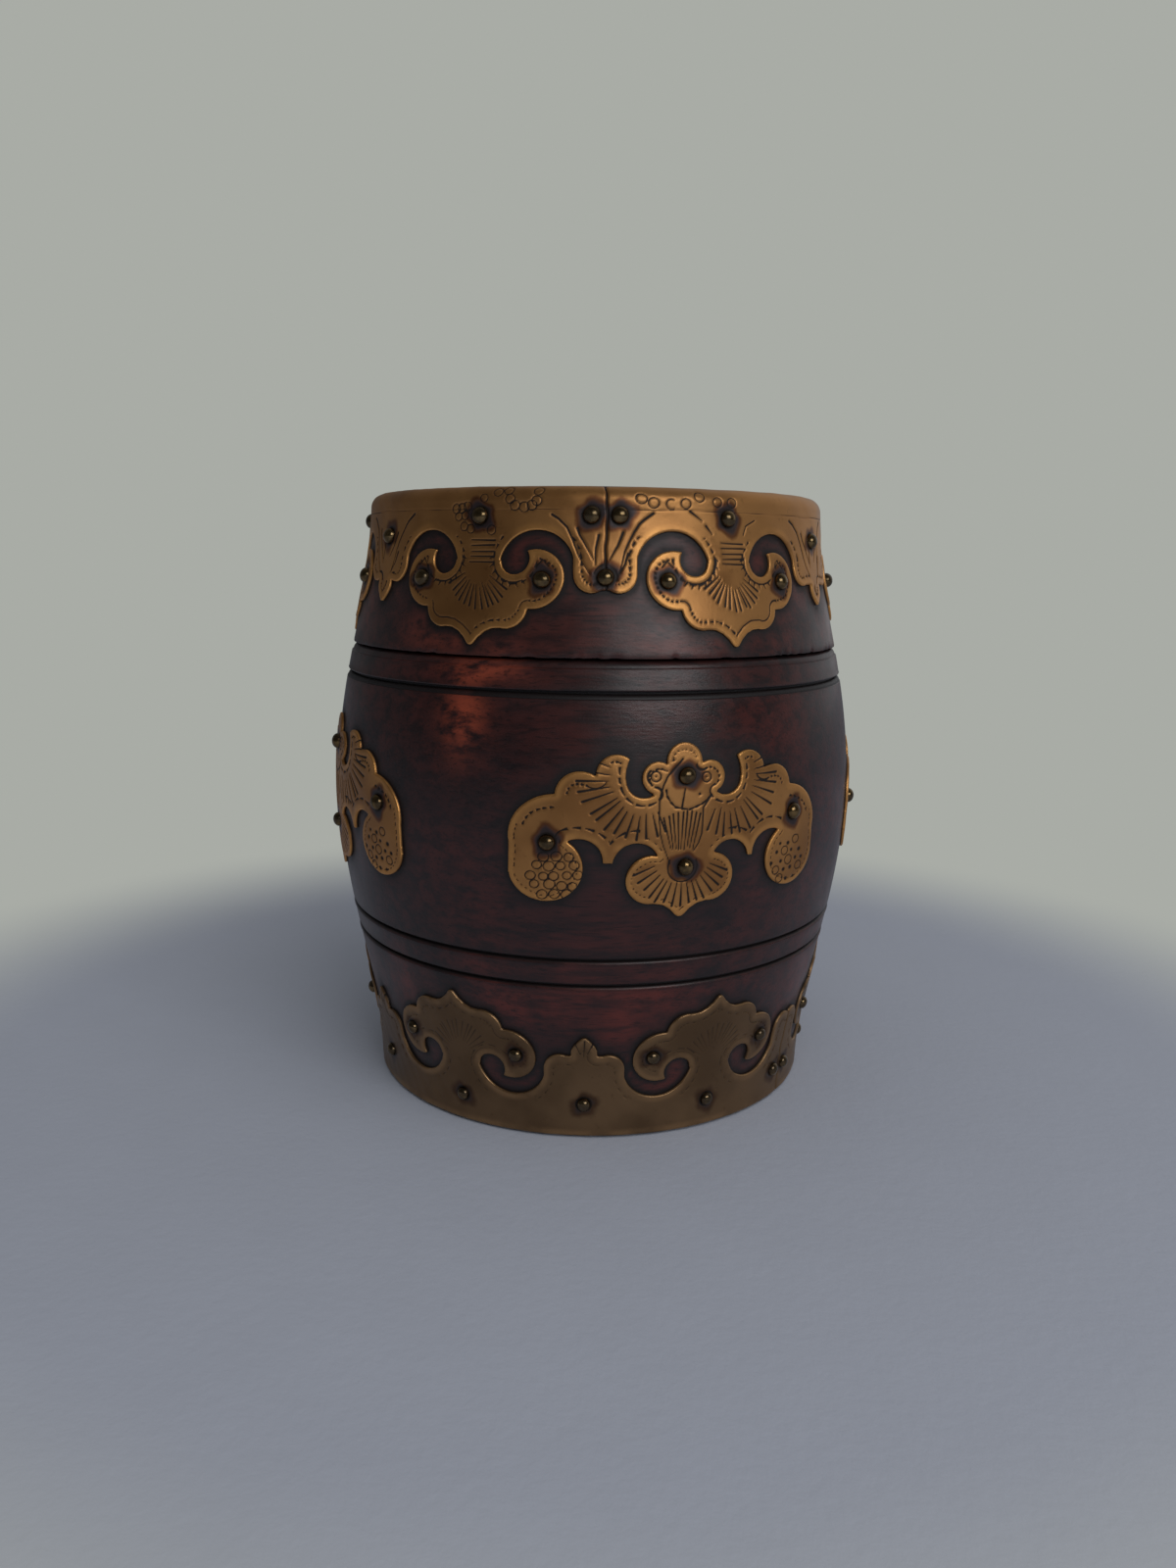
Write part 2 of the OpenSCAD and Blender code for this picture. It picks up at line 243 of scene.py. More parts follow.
def lathe(section, segments):
    """A ring of quads for each step of a closed section; a radius of 0 makes a pole."""
    turn = np.linspace(0, 2 * math.pi, segments, endpoint=False)
    verts, faces, rings = [], [], []
    for r, z in section:
        if r < 1e-6:
            rings.append([len(verts)])
            verts.append((0.0, 0.0, z))
        else:
            rings.append(range(len(verts), len(verts) + segments))
            verts.extend(around(turn, r, z).tolist())
    for k, a in enumerate(rings):
        b = rings[(k + 1) % len(rings)]
        for i in range(segments):
            j = (i + 1) % segments
            if len(a) == 1 and len(b) == 1:
                break
            if len(a) == 1:
                faces.append((a[0], b[j], b[i]))
            elif len(b) == 1:
                faces.append((a[i], a[j], b[0]))
            else:
                faces.append((a[i], a[j], b[j], b[i]))
    return verts, faces


def pot_section():
    foot_r = float(profile(FOOT_BEVEL))
    out = arc(foot_r - FOOT_BEVEL, FOOT_BEVEL, FOOT_BEVEL, -90, 0, 4)
    z = FOOT_BEVEL + 0.5
    for line, depth in LINES:
        out += rows(z, line - 0.8 * depth - 0.1)
        out += turned_line(line, depth)
        z = line + LINE_W + 0.5
    seam_r = float(profile(SEAM_Z))
    out += rows(z, SEAM_Z - SHOULDER_R - 0.1)
    out += arc(seam_r - SHOULDER_R, SEAM_Z - SHOULDER_R, SHOULDER_R, 0, 90, 8)
    spigot_r = seam_r - SKIRT - CLEAR
    inner_r = spigot_r - SPIGOT_T
    out += [(spigot_r + 0.1, SEAM_Z), (spigot_r, SEAM_Z + 0.1), (spigot_r, SPIGOT_TOP - 0.4)]
    out += arc(spigot_r - 0.4, SPIGOT_TOP - 0.4, 0.4, 0, 90, 4)[1:]
    out += arc(inner_r + 0.4, SPIGOT_TOP - 0.4, 0.4, 90, 180, 4)
    out += rows(SEAM_Z, FLOOR_H + 4, -WALL, 2)
    bottom_r = float(profile(FLOOR_H)) - WALL - 2.5
    out += [(bottom_r + 1.6, FLOOR_H + 1.2), (bottom_r, FLOOR_H), (DISC_R - DISC_LEDGE, FLOOR_H),
            (DISC_R - DISC_LEDGE, DISC_TOP), (DISC_R, DISC_TOP), (DISC_R, 0.2), (DISC_R + 0.2, 0)]
    return out


def lid_section():
    dome_h = LID_TOP - HEIGHT
    dome_r = (LIP_R ** 2 + dome_h ** 2) / (2 * dome_h)
    dome_a = math.degrees(math.asin(LIP_R / dome_r))
    cavity_r = float(profile(CEILING - CEILING_R)) - LID_WALL
    recess_r = float(profile(SEAM_Z)) - SKIRT
    edge = float(profile(LID_Z0))
    out = [(edge - 0.3, LID_Z0), (edge - 0.09, LID_Z0 + 0.09)]
    out += rows(LID_Z0 + 0.3, ARC_Z)
    out += arc(ARC_X, ARC_Z, RIM_EDGE_R, 10, 90, 7)
    out += [(LIP_R - 0.05, WOOD_TOP), (LIP_R - 0.05, HEIGHT - 0.05), (LIP_R - 0.2, HEIGHT)]
    out += arc(0, LID_TOP - dome_r, dome_r, 90 - dome_a + 0.3, 90, 24)
    out[-1] = (0.0, LID_TOP)
    out += [(0.0, CEILING)] + arc(cavity_r - CEILING_R, CEILING - CEILING_R, CEILING_R, 90, 0, 8)
    out += rows(CEILING - CEILING_R - 1, RECESS_TOP, -LID_WALL, 2)
    out += [(recess_r, RECESS_TOP), (recess_r, LID_Z0 + 0.1), (recess_r + 0.1, LID_Z0)]
    return out


# Chips in the lower edge of the lid: turn, half length along the edge, depth
CHIPS = [(float(t), float(h), float(d)) for t, h, d in
         zip(rng.uniform(-180, 180, 64), rng.uniform(0.3, 1.5, 64), rng.uniform(0.08, 0.3, 64))]


def chip(verts):
    """Wears small bites into the lid's lower edge."""
    v = np.array(verts)
    turn = np.degrees(np.arctan2(v[:, 0], -v[:, 1]))
    r = np.hypot(v[:, 0], v[:, 1])
    low = np.clip(1 - (v[:, 2] - LID_Z0) / 0.8, 0, 1) * (r > profile(SEAM_Z) - 1)
    cut = np.zeros(len(v))
    for t, half, depth in CHIPS:
        along = np.radians((turn - t + 180) % 360 - 180) * r
        cut = np.maximum(cut, depth * np.clip(1 - (along / half) ** 2, 0, 1))
    v[:, :2] *= (1 - cut * low / np.maximum(r, 1.0))[:, None]
    v[:, 2] += cut * low * 0.6
    return v


# ---- Brass plates ----

GRID = 0.2                  # spacing of the points of a plate
GRID_R = 51.0               # radius at which that spacing holds sideways
GRID_START = 0.37           # where the first point lies within its step
EDGE_R = 0.26               # rounding of its cut edges
EDGE_DROP = 0.13
WALL_FOOT = -0.72           # foot of its cut edges, from its face
SLIT_HALF, SLIT_R = 0.14, 50  # half width of a collar's joint, and the radius it holds at
EDGE_REACH = 2.0            # width of the polished zone beside a cut edge


def outer_loops(name):
    """Closed outlines of a plate's face as rows [x, y, z, turn, v], without nail holes."""
    points, polys = node_mesh(name)
    v, far = v_of(np.hypot(points[:, 0], points[:, 1]), points[:, 2])
    turn = np.arctan2(points[:, 0], -points[:, 1])
    skin = far < 0.1
    count = {}
    for p in polys:
        if all(skin[i] for i in p):
            for a, b in zip(p, p[1:] + p[:1]):
                key = (min(a, b), max(a, b))
                count[key] = count.get(key, 0) + 1
    near = {}
    for (a, b), n in count.items():
        if n % 2 == 1:
            near.setdefault(a, []).append(b)
            near.setdefault(b, []).append(a)
    loops, used = [], set()
    for first in sorted(near):
        if first in used:
            continue
        loop, here = [first], first
        used.add(first)
        while True:
            ahead = [n for n in near[here] if n not in used]
            if not ahead:
                break
            here = ahead[0]
            used.add(here)
            loop.append(here)
        pts = points[loop]
        size = np.linalg.norm(pts - np.roll(pts, -1, 0), axis=1).sum()
        if size > 8:
            loops.append(np.column_stack([pts, turn[loop], v[loop]]))
    return loops


def wrap(a):
    return (a + math.pi) % (2 * math.pi) - math.pi


def turned(points, angle):
    """Points turned round the axis."""
    c, s = math.cos(angle), math.sin(angle)
    return points @ np.array([[c, s, 0], [-s, c, 0], [0, 0, 1]])


class Plate:
    """Height field over turn and arc length, cut to the outline of a CAD plate."""

    def __init__(self, node, middle, half_turn=None, slit=None):
        self.middle, self.slit = middle, slit
        self.loops = outer_loops(node)
        self.closed = half_turn is None
        half = math.pi if self.closed else half_turn
        count = int(2 * half / (GRID / GRID_R))
        self.turns = middle - half + (np.arange(count) + GRID_START) * 2 * half / count
        low = min(l[:, 4].min() for l in self.loops) - 2 * GRID
        high = max(l[:, 4].max() for l in self.loops) + 2 * GRID
        self.v = np.arange(low, high, GRID)
        self.y = height_of(self.v)
        self.r = on_meridian(self.v)[0]
        self.make_mask()
        self.ink = np.zeros(self.mask_pts.shape)
        self.dip = np.zeros(self.mask_pts.shape)
        self.halo = np.zeros(self.mask_pts.shape)

    def make_mask(self):
        nu, nv = len(self.turns), len(self.v)
        du = self.turns[1] - self.turns[0]
        flips = np.zeros((nu, nv + 1), np.int8)
        for loop in self.loops:
            rel = wrap(loop[:, 3] - self.middle)
            v = loop[:, 4]
            for a in range(len(loop)):
                b = (a + 1) % len(loop)
                t0, t1 = rel[a], rel[b]
                if abs(t1 - t0) > math.pi:
                    t1 += 2 * math.pi if t1 < t0 else -2 * math.pi
                base = self.turns[0] - self.middle
                i0, i1 = sorted([(t0 - base) / du, (t1 - base) / du])
                for i in range(math.ceil(i0), math.floor(i1) + 1):
                    if i == i1 and i1 != i0:
                        continue
                    k = (i * du + base - t0) / (t1 - t0) if t1 != t0 else 0.5
                    at = v[a] + (v[b] - v[a]) * k
                    j = min(max(math.ceil((at - self.v[0]) / GRID), 0), nv)
                    if self.closed:
                        i %= nu
                    if 0 <= i < nu:
                        flips[i, j] ^= 1
        inside = (np.cumsum(flips, 1)[:, :nv] % 2).astype(bool)
        if self.slit is not None:
            off = wrap(self.turns - self.slit) * SLIT_R
            bad = np.nonzero(np.abs(off) < SLIT_HALF)[0]
            for i in bad:
                good = i
                while abs(off[good % nu]) < SLIT_HALF:
                    good += 1
                inside[i] = inside[good % nu]
        nxt = np.roll(inside, -1, 0)
        if not self.closed:
            nxt[-1] = False
        votes = (inside[:, :-1].astype(int) + inside[:, 1:] + nxt[:, :-1] + nxt[:, 1:])
        self.cells = votes >= 2
        pts = np.zeros((nu, nv), int)
        cell = self.cells.astype(int)
        pts[:, :-1] += cell
        pts[:, 1:] += cell
        back = np.roll(cell, 1, 0)
        pts[:, :-1] += back
        pts[:, 1:] += back
        self.mask_pts = pts > 0
        self.rim_pts = self.mask_pts & (pts < 4)

    # Distances from each point of the grid to the outline

    def measure(self):
        samples = []
        start = 0.0
        for loop in self.loops:
            ring = np.vstack([loop, loop[:1]])
            xyz = ring[:, :3]
            seg = np.linalg.norm(np.diff(xyz, axis=0), axis=1)
            s = np.concatenate([[0], np.cumsum(seg)])
            n = int(s[-1] / 0.05)
            at = np.linspace(0, s[-1], n, endpoint=False)
            p = np.stack([np.interp(at, s, xyz[:, k]) for k in range(3)], 1)
            samples.append(np.column_stack([p, start + at]))
            start += s[-1] + 100
        samples = np.vstack(samples)
        if self.slit is not None:
            side = wrap(np.arctan2(samples[:, 0], -samples[:, 1]) - self.slit) * SLIT_R
            samples = samples[np.abs(side) > SLIT_HALF]
        self.samples = samples
        tree = kdtree.KDTree(len(samples))
        for i, p in enumerate(samples[:, :3].tolist()):
            tree.insert(p, i)
        tree.balance()
        self.ids = np.argwhere(self.mask_pts)
        t = self.turns[self.ids[:, 0]]
        v = self.v[self.ids[:, 1]]
        r, z = on_meridian(v)
        xyz = around(t, r, z)
        hits = [tree.find(p) for p in xyz.tolist()]
        which = np.array([h[1] for h in hits])
        self.dist = np.zeros(self.mask_pts.shape)
        self.along = np.zeros(self.mask_pts.shape)
        self.dist[self.mask_pts] = np.array([h[2] for h in hits])
        self.along[self.mask_pts] = samples[which, 3]
        self.nearest = samples[which, :3]

    # Engraving, in a motif's own x (sideways) and y (away from the edge of the collar)

    def window(self, turn, y0, sign, box):
        x0, x1, ya, yb = box
        ys = sign * (self.y - y0)
        js = np.nonzero((ys >= ya) & (ys <= yb))[0]
        rel = wrap(self.turns - turn)
        r = self.r[js].min() if len(js) else 45.0
        limit0, limit1 = math.asin(max(-1, min(1, x0 / r))), math.asin(max(-1, min(1, x1 / r)))
        cols = np.nonzero((rel >= limit0 - 0.01) & (rel <= limit1 + 0.01))[0]
        if not len(js) or not len(cols):
            return None
        x = np.sin(rel[cols])[:, None] * self.r[js][None, :]
        y = np.broadcast_to(ys[js][None, :], x.shape)
        return np.ix_(cols, js), x, y

    def cut(self, spot, dist, width, strength, depth):
        f = np.exp(-(dist / width) ** 2)
        self.ink[spot] = np.maximum(self.ink[spot], f * strength)
        self.dip[spot] = np.maximum(self.dip[spot], f * depth)

    def line(self, at, points, start=0.17, end=None, strength=1.0, depth=0.16):
        """A stroke through points, whose half width goes from start to end."""
        turn, y0, sign = at
        end = start if end is None else end
        pts = np.asarray(points, float)
        total = len(pts) - 1
        for k in range(total):
            (ax, ay), (bx, by) = pts[k], pts[k + 1]
            pad = 3 * max(start, end)
            box = (min(ax, bx) - pad, max(ax, bx) + pad, min(ay, by) - pad, max(ay, by) + pad)
            got = self.window(turn, y0, sign, box)
            if got is None:
                continue
            spot, x, y = got
            dx, dy = bx - ax, by - ay
            t = np.clip(((x - ax) * dx + (y - ay) * dy) / max(dx * dx + dy * dy, 1e-9), 0, 1)
            d = np.hypot(x - ax - t * dx, y - ay - t * dy)
            self.cut(spot, d, start + (end - start) * (k + t) / total, strength, depth)

    def ring(self, at, cx, cy, r, width=0.16, strength=1.0, depth=0.15, a0=0, a1=360):
        turn, y0, sign = at
        pad = r + 3 * width
        got = self.window(turn, y0, sign, (cx - pad, cx + pad, cy - pad, cy + pad))
        if got is None:
            return
        spot, x, y = got
        d = np.abs(np.hypot(x - cx, y - cy) - r)
        if a1 - a0 < 360:
            a = np.degrees(np.arctan2(y - cy, x - cx))
            d = np.where((a - a0) % 360 <= a1 - a0, d, 9.0)
        self.cut(spot, d, width, strength, depth)

    def dot(self, at, cx, cy, width=0.25):
        self.ring(at, cx, cy, 0.0, width, depth=0.2)

    def inside(self, at, box):
        """The points within a box of a motif's own x and y."""
        out = np.zeros(self.mask_pts.shape, bool)
        got = self.window(*at, box)
        if got is not None:
            spot, x, y = got
            out[spot] = (x >= box[0]) & (x <= box[1]) & (y >= box[2]) & (y <= box[3])
        return out

    def border(self, where, inset, pitch=1.6, fill=0.62, thin=0.07, thick=0.3, strength=0.95):
        """Wedge marks that follow the outline at a small distance; fill 1 makes a whole line."""
        phase = (self.along % pitch) / pitch
        wedge = np.clip(1 - phase / fill, 0, 1)
        width = thin + (thick - thin) * wedge if fill < 1 else thick
        d = np.abs(self.dist - inset - 0.12 * np.sin(self.along * 0.7))
        f = np.exp(-(d / width) ** 2) * ((wedge > 0.02) | (fill >= 1)) * where * self.mask_pts
        self.ink = np.maximum(self.ink, strength * f)
        self.dip = np.maximum(self.dip, 0.15 * f)

    def band(self, z, width=0.11, strength=0.7):
        """A scribed line all the way round at a height."""
        wave = 0.09 * np.sin(5 * self.turns)[:, None] + 0.05 * np.sin(23 * self.turns)[:, None]
        f = np.exp(-((self.y[None, :] - z - wave) / width) ** 2) * self.mask_pts
        self.ink = np.maximum(self.ink, strength * f)
        self.dip = np.maximum(self.dip, 0.07 * f)

    def nails(self, places, head, stain):
        """Tarnish, a black ring and a slight dimple round each nail."""
        for turn, v in places:
            rel = wrap(self.turns - turn)
            cols = np.nonzero(np.abs(rel) < 0.14)[0]
            js = np.nonzero(np.abs(self.v - v) < 6)[0]
            x = rel[cols][:, None] * self.r[js][None, :]
            y = (self.v[js] - v)[None, :] * np.ones_like(x)
            rho = np.hypot(x, y)
            angle = np.arctan2(y, x)
            reach = 2.9 + 0.35 * np.sin(2 * angle + turn * 7) + 0.25 * np.sin(5 * angle + turn * 3)
            spot = np.ix_(cols, js)
            fall = np.clip(1.25 - rho / reach, 0, 1) * stain
            self.halo[spot] = np.maximum(self.halo[spot], fall)
            foot = np.exp(-((rho - head - 0.05) / 0.26) ** 2)
            self.ink[spot] = np.maximum(self.ink[spot], 0.95 * foot)
            self.dip[spot] = np.maximum(self.dip[spot], 0.12 * np.exp(-(rho / 1.9) ** 4))

    def build(self, name, body, nodes, turn_by=0.0):
        """The plate as a mesh, turned round the axis by turn_by."""
        ids = self.ids
        index = np.full(self.mask_pts.shape, -1)
        index[self.mask_pts] = np.arange(len(ids))
        t = self.turns[ids[:, 0]]
        v = self.v[ids[:, 1]].copy()
        rim = self.rim_pts[self.mask_pts]
        dist = np.where(rim, 0.0, self.dist[self.mask_pts])
        r, z = on_meridian(v)
        xyz = around(t, r, z)
        snapped = np.where(rim[:, None], self.nearest, xyz)
        if self.slit is not None:
            near_slit = (np.abs(wrap(t - self.slit) * SLIT_R) < 0.6) & rim
            # Points beside the slit keep their turn, so that the two ends stay apart
            keep = snapped[near_slit]
            radius = np.hypot(keep[:, 0], keep[:, 1])
            snapped[near_slit] = around(t[near_slit], radius, keep[:, 2])
        vv, _ = v_of(np.hypot(snapped[rim, 0], snapped[rim, 1]), snapped[rim, 2])
        v[rim] = vv
        nr, nz = np.interp(v, MER_V, MER_NR), np.interp(v, MER_V, MER_NZ)
        turn = np.arctan2(snapped[:, 0], -snapped[:, 1])
        normal = np.stack([nr * np.sin(turn), -nr * np.cos(turn), nz], -1)
        soft = EDGE_DROP * np.clip(1 - dist / EDGE_R, 0, 1) ** 2
        x, y, zz = snapped.T
        wave = 0.035 * np.sin(0.55 * x + 1.3 * np.sin(0.21 * zz)) * np.sin(0.5 * zz + 0.4 * y + 1)
        wave += 0.02 * np.sin(1.3 * zz + 0.9 * x) * np.sin(1.1 * y - 0.7 * x)
        off = -soft - self.dip[self.mask_pts] + wave - 0.03
        verts = snapped + normal * off[:, None]
        ci, cj = np.nonzero(self.cells)
        nu = len(self.turns)
        c2 = (ci + 1) % nu
        quads = np.column_stack([index[ci, cj], index[c2, cj],
                                 index[c2, cj + 1], index[ci, cj + 1]])
        edges = np.vstack([quads[:, [0, 1]], quads[:, [1, 2]], quads[:, [2, 3]], quads[:, [3, 0]]])
        size = len(verts)
        forward = edges[:, 0] * size + edges[:, 1]
        backward = edges[:, 1] * size + edges[:, 0]
        open_edges = edges[~np.isin(forward, backward)]
        used = np.unique(open_edges)
        foot = np.full(size, -1)
        foot[used] = size + np.arange(len(used))
        low = snapped[used] + normal[used] * WALL_FOOT
        walls = np.column_stack([open_edges[:, 1], open_edges[:, 0],
                                 foot[open_edges[:, 0]], foot[open_edges[:, 1]]])
        verts = np.vstack([verts, low])
        verts = turned(verts, turn_by)
        obj = new_piece(name, verts, np.vstack([quads, walls]).tolist(), body, nodes)
        ink = self.ink[self.mask_pts]
        edge = np.clip(1 - dist / EDGE_REACH, 0, 1)
        halo = self.halo[self.mask_pts]
        wear = np.column_stack([ink, edge, halo])
        # The cut walls darken to near black at their foot, with some tarnish: dirt, and painted
        # shade where the plate meets the wood.
        foot_dirt_and_shade = np.tile([0.9, 0.0, 0.3], (len(used), 1))
        point_colour(obj, "wear", np.vstack([wear, foot_dirt_and_shade]))
        return obj


def polar(cx, cy, r, angle):
    a = math.radians(angle)
    return (cx + r * math.cos(a), cy + r * math.sin(a))


def jig(amount=0.12):
    return float(rng.normal(0, amount))


def wobble(points, amount=0.06):
    return [(x + jig(amount), y + jig(amount)) for x, y in points]


EYE_X, EYE_Y, EYE_CURVE_R = 7.1, -1.6, 3.9      # pierced eye beside a neck, and its curve
NECK_LINES = [-4.7, -3.9, -2.75, -2.0, -1.1]
FAN_ENDS = [(-5.6, 2.9), (-4.7, 3.9), (-3.9, 4.8), (-3.1, 5.5), (-1.9, 6.1), (-0.7, 6.5),
            (0.5, 6.9), (1.8, 6.8), (3.0, 6.5), (3.9, 6.2), (4.8, 5.6), (5.5, 4.7), (5.9, 3.5)]
BAND_RINGS = [(-15.9, -12.0), (-13.9, -11.3), (-10.8, -11.1), (-8.2, -11.3), (-5.6, -12.6),
              (-2.1, -11.7), (0.9, -11.7)]
GARLAND = [(3.2, -13.0), (5.1, -13.3), (5.6, -11.6), (6.5, -10.6), (8.1, -10.4), (9.5, -10.6),
           (10.3, -11.5), (10.4, -13.3)]
NECK_PUNCHES = [(-5.1, -10.1), (-3.9, -10.2), (-2.7, -10.5), (-3.2, -9.0), (-4.6, -8.8),
                (-3.3, -7.1), (-1.9, -6.7), (0.6, -12.0), (2.3, -6.5)]


def eye_curve(side, angles, r=EYE_CURVE_R):
    return [polar(side * EYE_X, EYE_Y, r, 90 - side * a) for a in angles]


def engrave_fan(plate, at, faint=1.0):
    """Rays that fan out from the neck, each cut deepest at its far end."""
    for x, y in FAN_ENDS:
        reach = 0.52 + jig(0.03)
        start = (x * reach * 0.86, -1.2 + (y + 1.2) * reach)
        plate.line(at, [start, (x + jig(0.08), y + jig(0.1))], 0.09, 0.24, faint, 0.15 * faint)


def engrave_pendant(plate, at, garland):
    """Neck lines, fan, eye curves, and the punched rings of the band above."""
    for y in NECK_LINES:
        w = 2.2 + 0.1 * abs(y + 2.9)
        plate.line(at, wobble([(0.8 - w, y), (0.8 + w, y)]), 0.13, 0.2)
    engrave_fan(plate, at)
    for side in (-1, 1):
        plate.line(at, eye_curve(side, range(-100, 25, 8)), 0.11, 0.16)
        for a in range(-95, 25, 17):
            mark = eye_curve(side, [a], 3.95) + eye_curve(side, [a + 4], 4.75)
            plate.line(at, mark, 0.22, 0.08)
    if garland:
        for x, y in GARLAND:
            plate.ring(at, x + jig(0.08), y + jig(0.08), 0.85, 0.14, 0.9)
        for x, y in NECK_PUNCHES:
            plate.ring(at, x, y, 0.78 + jig(0.05), 0.14, 0.9)
    else:
        for x, y in BAND_RINGS:
            gap = 50 if x == -10.8 else 0
            plate.ring(at, x, y, 0.92 + jig(0.04), 0.14, 0.9, a0=gap, a1=360 - gap)
        plate.line(at, [(-7.5, -10.0), (-5.2, -8.4)], 0.24, 0.1)
        plate.line(at, [(-4.5, -7.6), (-3.3, -6.2)], 0.24, 0.1)
        plate.line(at, [(3.4, -6.2), (4.1, -7.8), (6.2, -8.8)], 0.14)


def engrave_base_pendant(plate, at):
    """The fan and the eye curves alone, worn faint."""
    engrave_fan(plate, at, 0.55)
    for side in (-1, 1):
        plate.line(at, eye_curve(side, range(-80, 15, 8)), 0.1, 0.14, 0.5, 0.1)


LEAF_STROKES = [
    [(-9.1, -9.1), (-8.1, -8.5), (-6.6, -7.1), (-5.7, -5.2), (-4.7, -2.6), (-3.9, -1.0),
     (-2.6, 0.9)],
    [(-4.8, -6.9), (-4.5, -5.8), (-3.6, -4.3), (-2.1, -1.5)],
    [(-1.2, -5.8), (-1.7, -3.5), (-1.9, -0.7)],
    [(2.9, -6.3), (2.1, -4.0), (0.7, -1.7)],
    [(8.1, -9.4), (6.6, -8.4), (5.7, -7.6), (4.8, -6.3), (3.9, -4.6), (3.3, -3.1), (2.6, -0.2),
     (2.0, 1.1)],
    [(3.8, -2.7), (3.3, -0.9), (2.4, 0.7)]]


def engrave_leaf(plate, at):
    """Long chisel strokes that run down to the point of a trefoil leaf."""
    for stroke in LEAF_STROKES:
        plate.line(at, wobble(stroke, 0.04), 0.27, 0.09)


def engrave_base_leaf(plate, at, rise):
    """A middle vein with pairs of long slanting strokes."""
    plate.line(at, [(0.1, -rise - 1.9), (0.0, -rise - 5.2)], 0.2, 0.08, 0.8)
    for side in (-1, 1):
        for k in range(4):
            x, y = side * (1.2 + 1.15 * k), -rise - 4.6 + 1.35 * k
            stroke = [(x * 0.55, y), (x + side * 0.9, y + 3.2 + 0.4 * k)]
            plate.line(at, wobble(stroke), 0.1, 0.24, 0.75, 0.12)


BAT_HEAD = [
    [(-0.7, 13.2), (-2.1, 11.7), (-3.5, 10.3), (-4.3, 8.7), (-5.0, 6.3), (-5.0, 2.7), (-4.7, 0.1),
     (-4.2, -1.8), (-2.9, -5.1)],
    [(4.7, 6.8), (3.1, 4.6), (2.9, 0.1), (2.3, -1.7), (1.4, -3.0)]]
BAT_SMILE = [(-3.8, 7.9), (-3.6, 6.8), (-2.9, 5.7), (-2.1, 4.9), (-0.9, 4.6), (0.5, 4.4),
             (1.7, 4.8), (2.9, 5.3), (4.0, 6.1), (4.7, 7.0)]
ARCH_X, ARCH_Y, ARCH_REACH = 7.6, 9.7, 6.4      # notch between head and wing
SCALES_X, SCALES_Y = 22.2, -7.2                 # scales in a wing's scroll
TAIL_X, TAIL_Y = -0.5, -3.2


def engrave_bat(plate, at):
    """Wing rays, body, face, tail and the scales in the wings' scrolls."""
    for side in (-1, 1):
        for k in range(14):
            a = 160 + k * 10.2 + jig(0.9)
            a = a if side < 0 else 180 - a
            start = polar(side * ARCH_X, ARCH_Y, 5.9 + jig(0.25), a)
            far = polar(side * ARCH_X, ARCH_Y, 11.3 - 0.1 * k + jig(0.2), a)
            plate.line(at, [start, far], 0.11, 0.27)
        for row in range(-2, 3):
            for col in range(-2, 3):
                x = side * SCALES_X + 1.95 * col + (0.97 if row % 2 else 0) + jig(0.14)
                y = SCALES_Y + 1.72 * row + jig(0.14)
                if math.hypot(x - side * SCALES_X, y - SCALES_Y) > 4.2:
                    continue
                if side < 0 or (row + col) % 3 == 0:
                    plate.ring(at, x, y, 0.8 + jig(0.05), 0.14, 0.9)
                else:
                    plate.dot(at, x, y, 0.42 + jig(0.05))
    for stroke in BAT_HEAD:
        plate.line(at, stroke, 0.2, 0.12)
    for a, b in zip(BAT_SMILE, BAT_SMILE[1:]):
        far = (a[0] + 0.72 * (b[0] - a[0]), a[1] + 0.72 * (b[1] - a[1]))
        plate.line(at, [a, far], 0.27, 0.15)
    plate.line(at, [(-0.35, 8.05), (-0.9, 4.9)], 0.14, 0.22)
    for x, y in ((-5.6, 10.3), (3.7, 9.9)):
        plate.ring(at, x, y, 0.85, 0.15)
        plate.dot(at, x, y, 0.2)
    plate.ring(at, -5.7, 10.2, 1.35, 0.24, a0=120, a1=240)
    plate.dot(at, 2.4, 7.0, 0.3)
    for k in range(9):
        x = -4.1 + 0.83 * k
        stroke = [(x, 4.0 - 0.05 * x * x), (-0.9 + 0.62 * (x + 0.9), -2.4 + jig(0.4))]
        plate.line(at, wobble(stroke), 0.2, 0.1)
    for k in range(15):
        a = 204 + 9.4 * k + jig(0.8)
        ray = [polar(TAIL_X, TAIL_Y, 5.6, a), polar(TAIL_X, TAIL_Y, 9.6 + jig(0.2), a)]
        plate.line(at, ray, 0.11, 0.26)
    plate.ring(at, -0.5, -5.8, 2.7, 0.16, a0=150, a1=390)


# ---- Nails ----

HEAD_R, BASE_HEAD_R = 1.5, 1.3
HEAD_SHARE = 0.78           # height of a head beside its radius


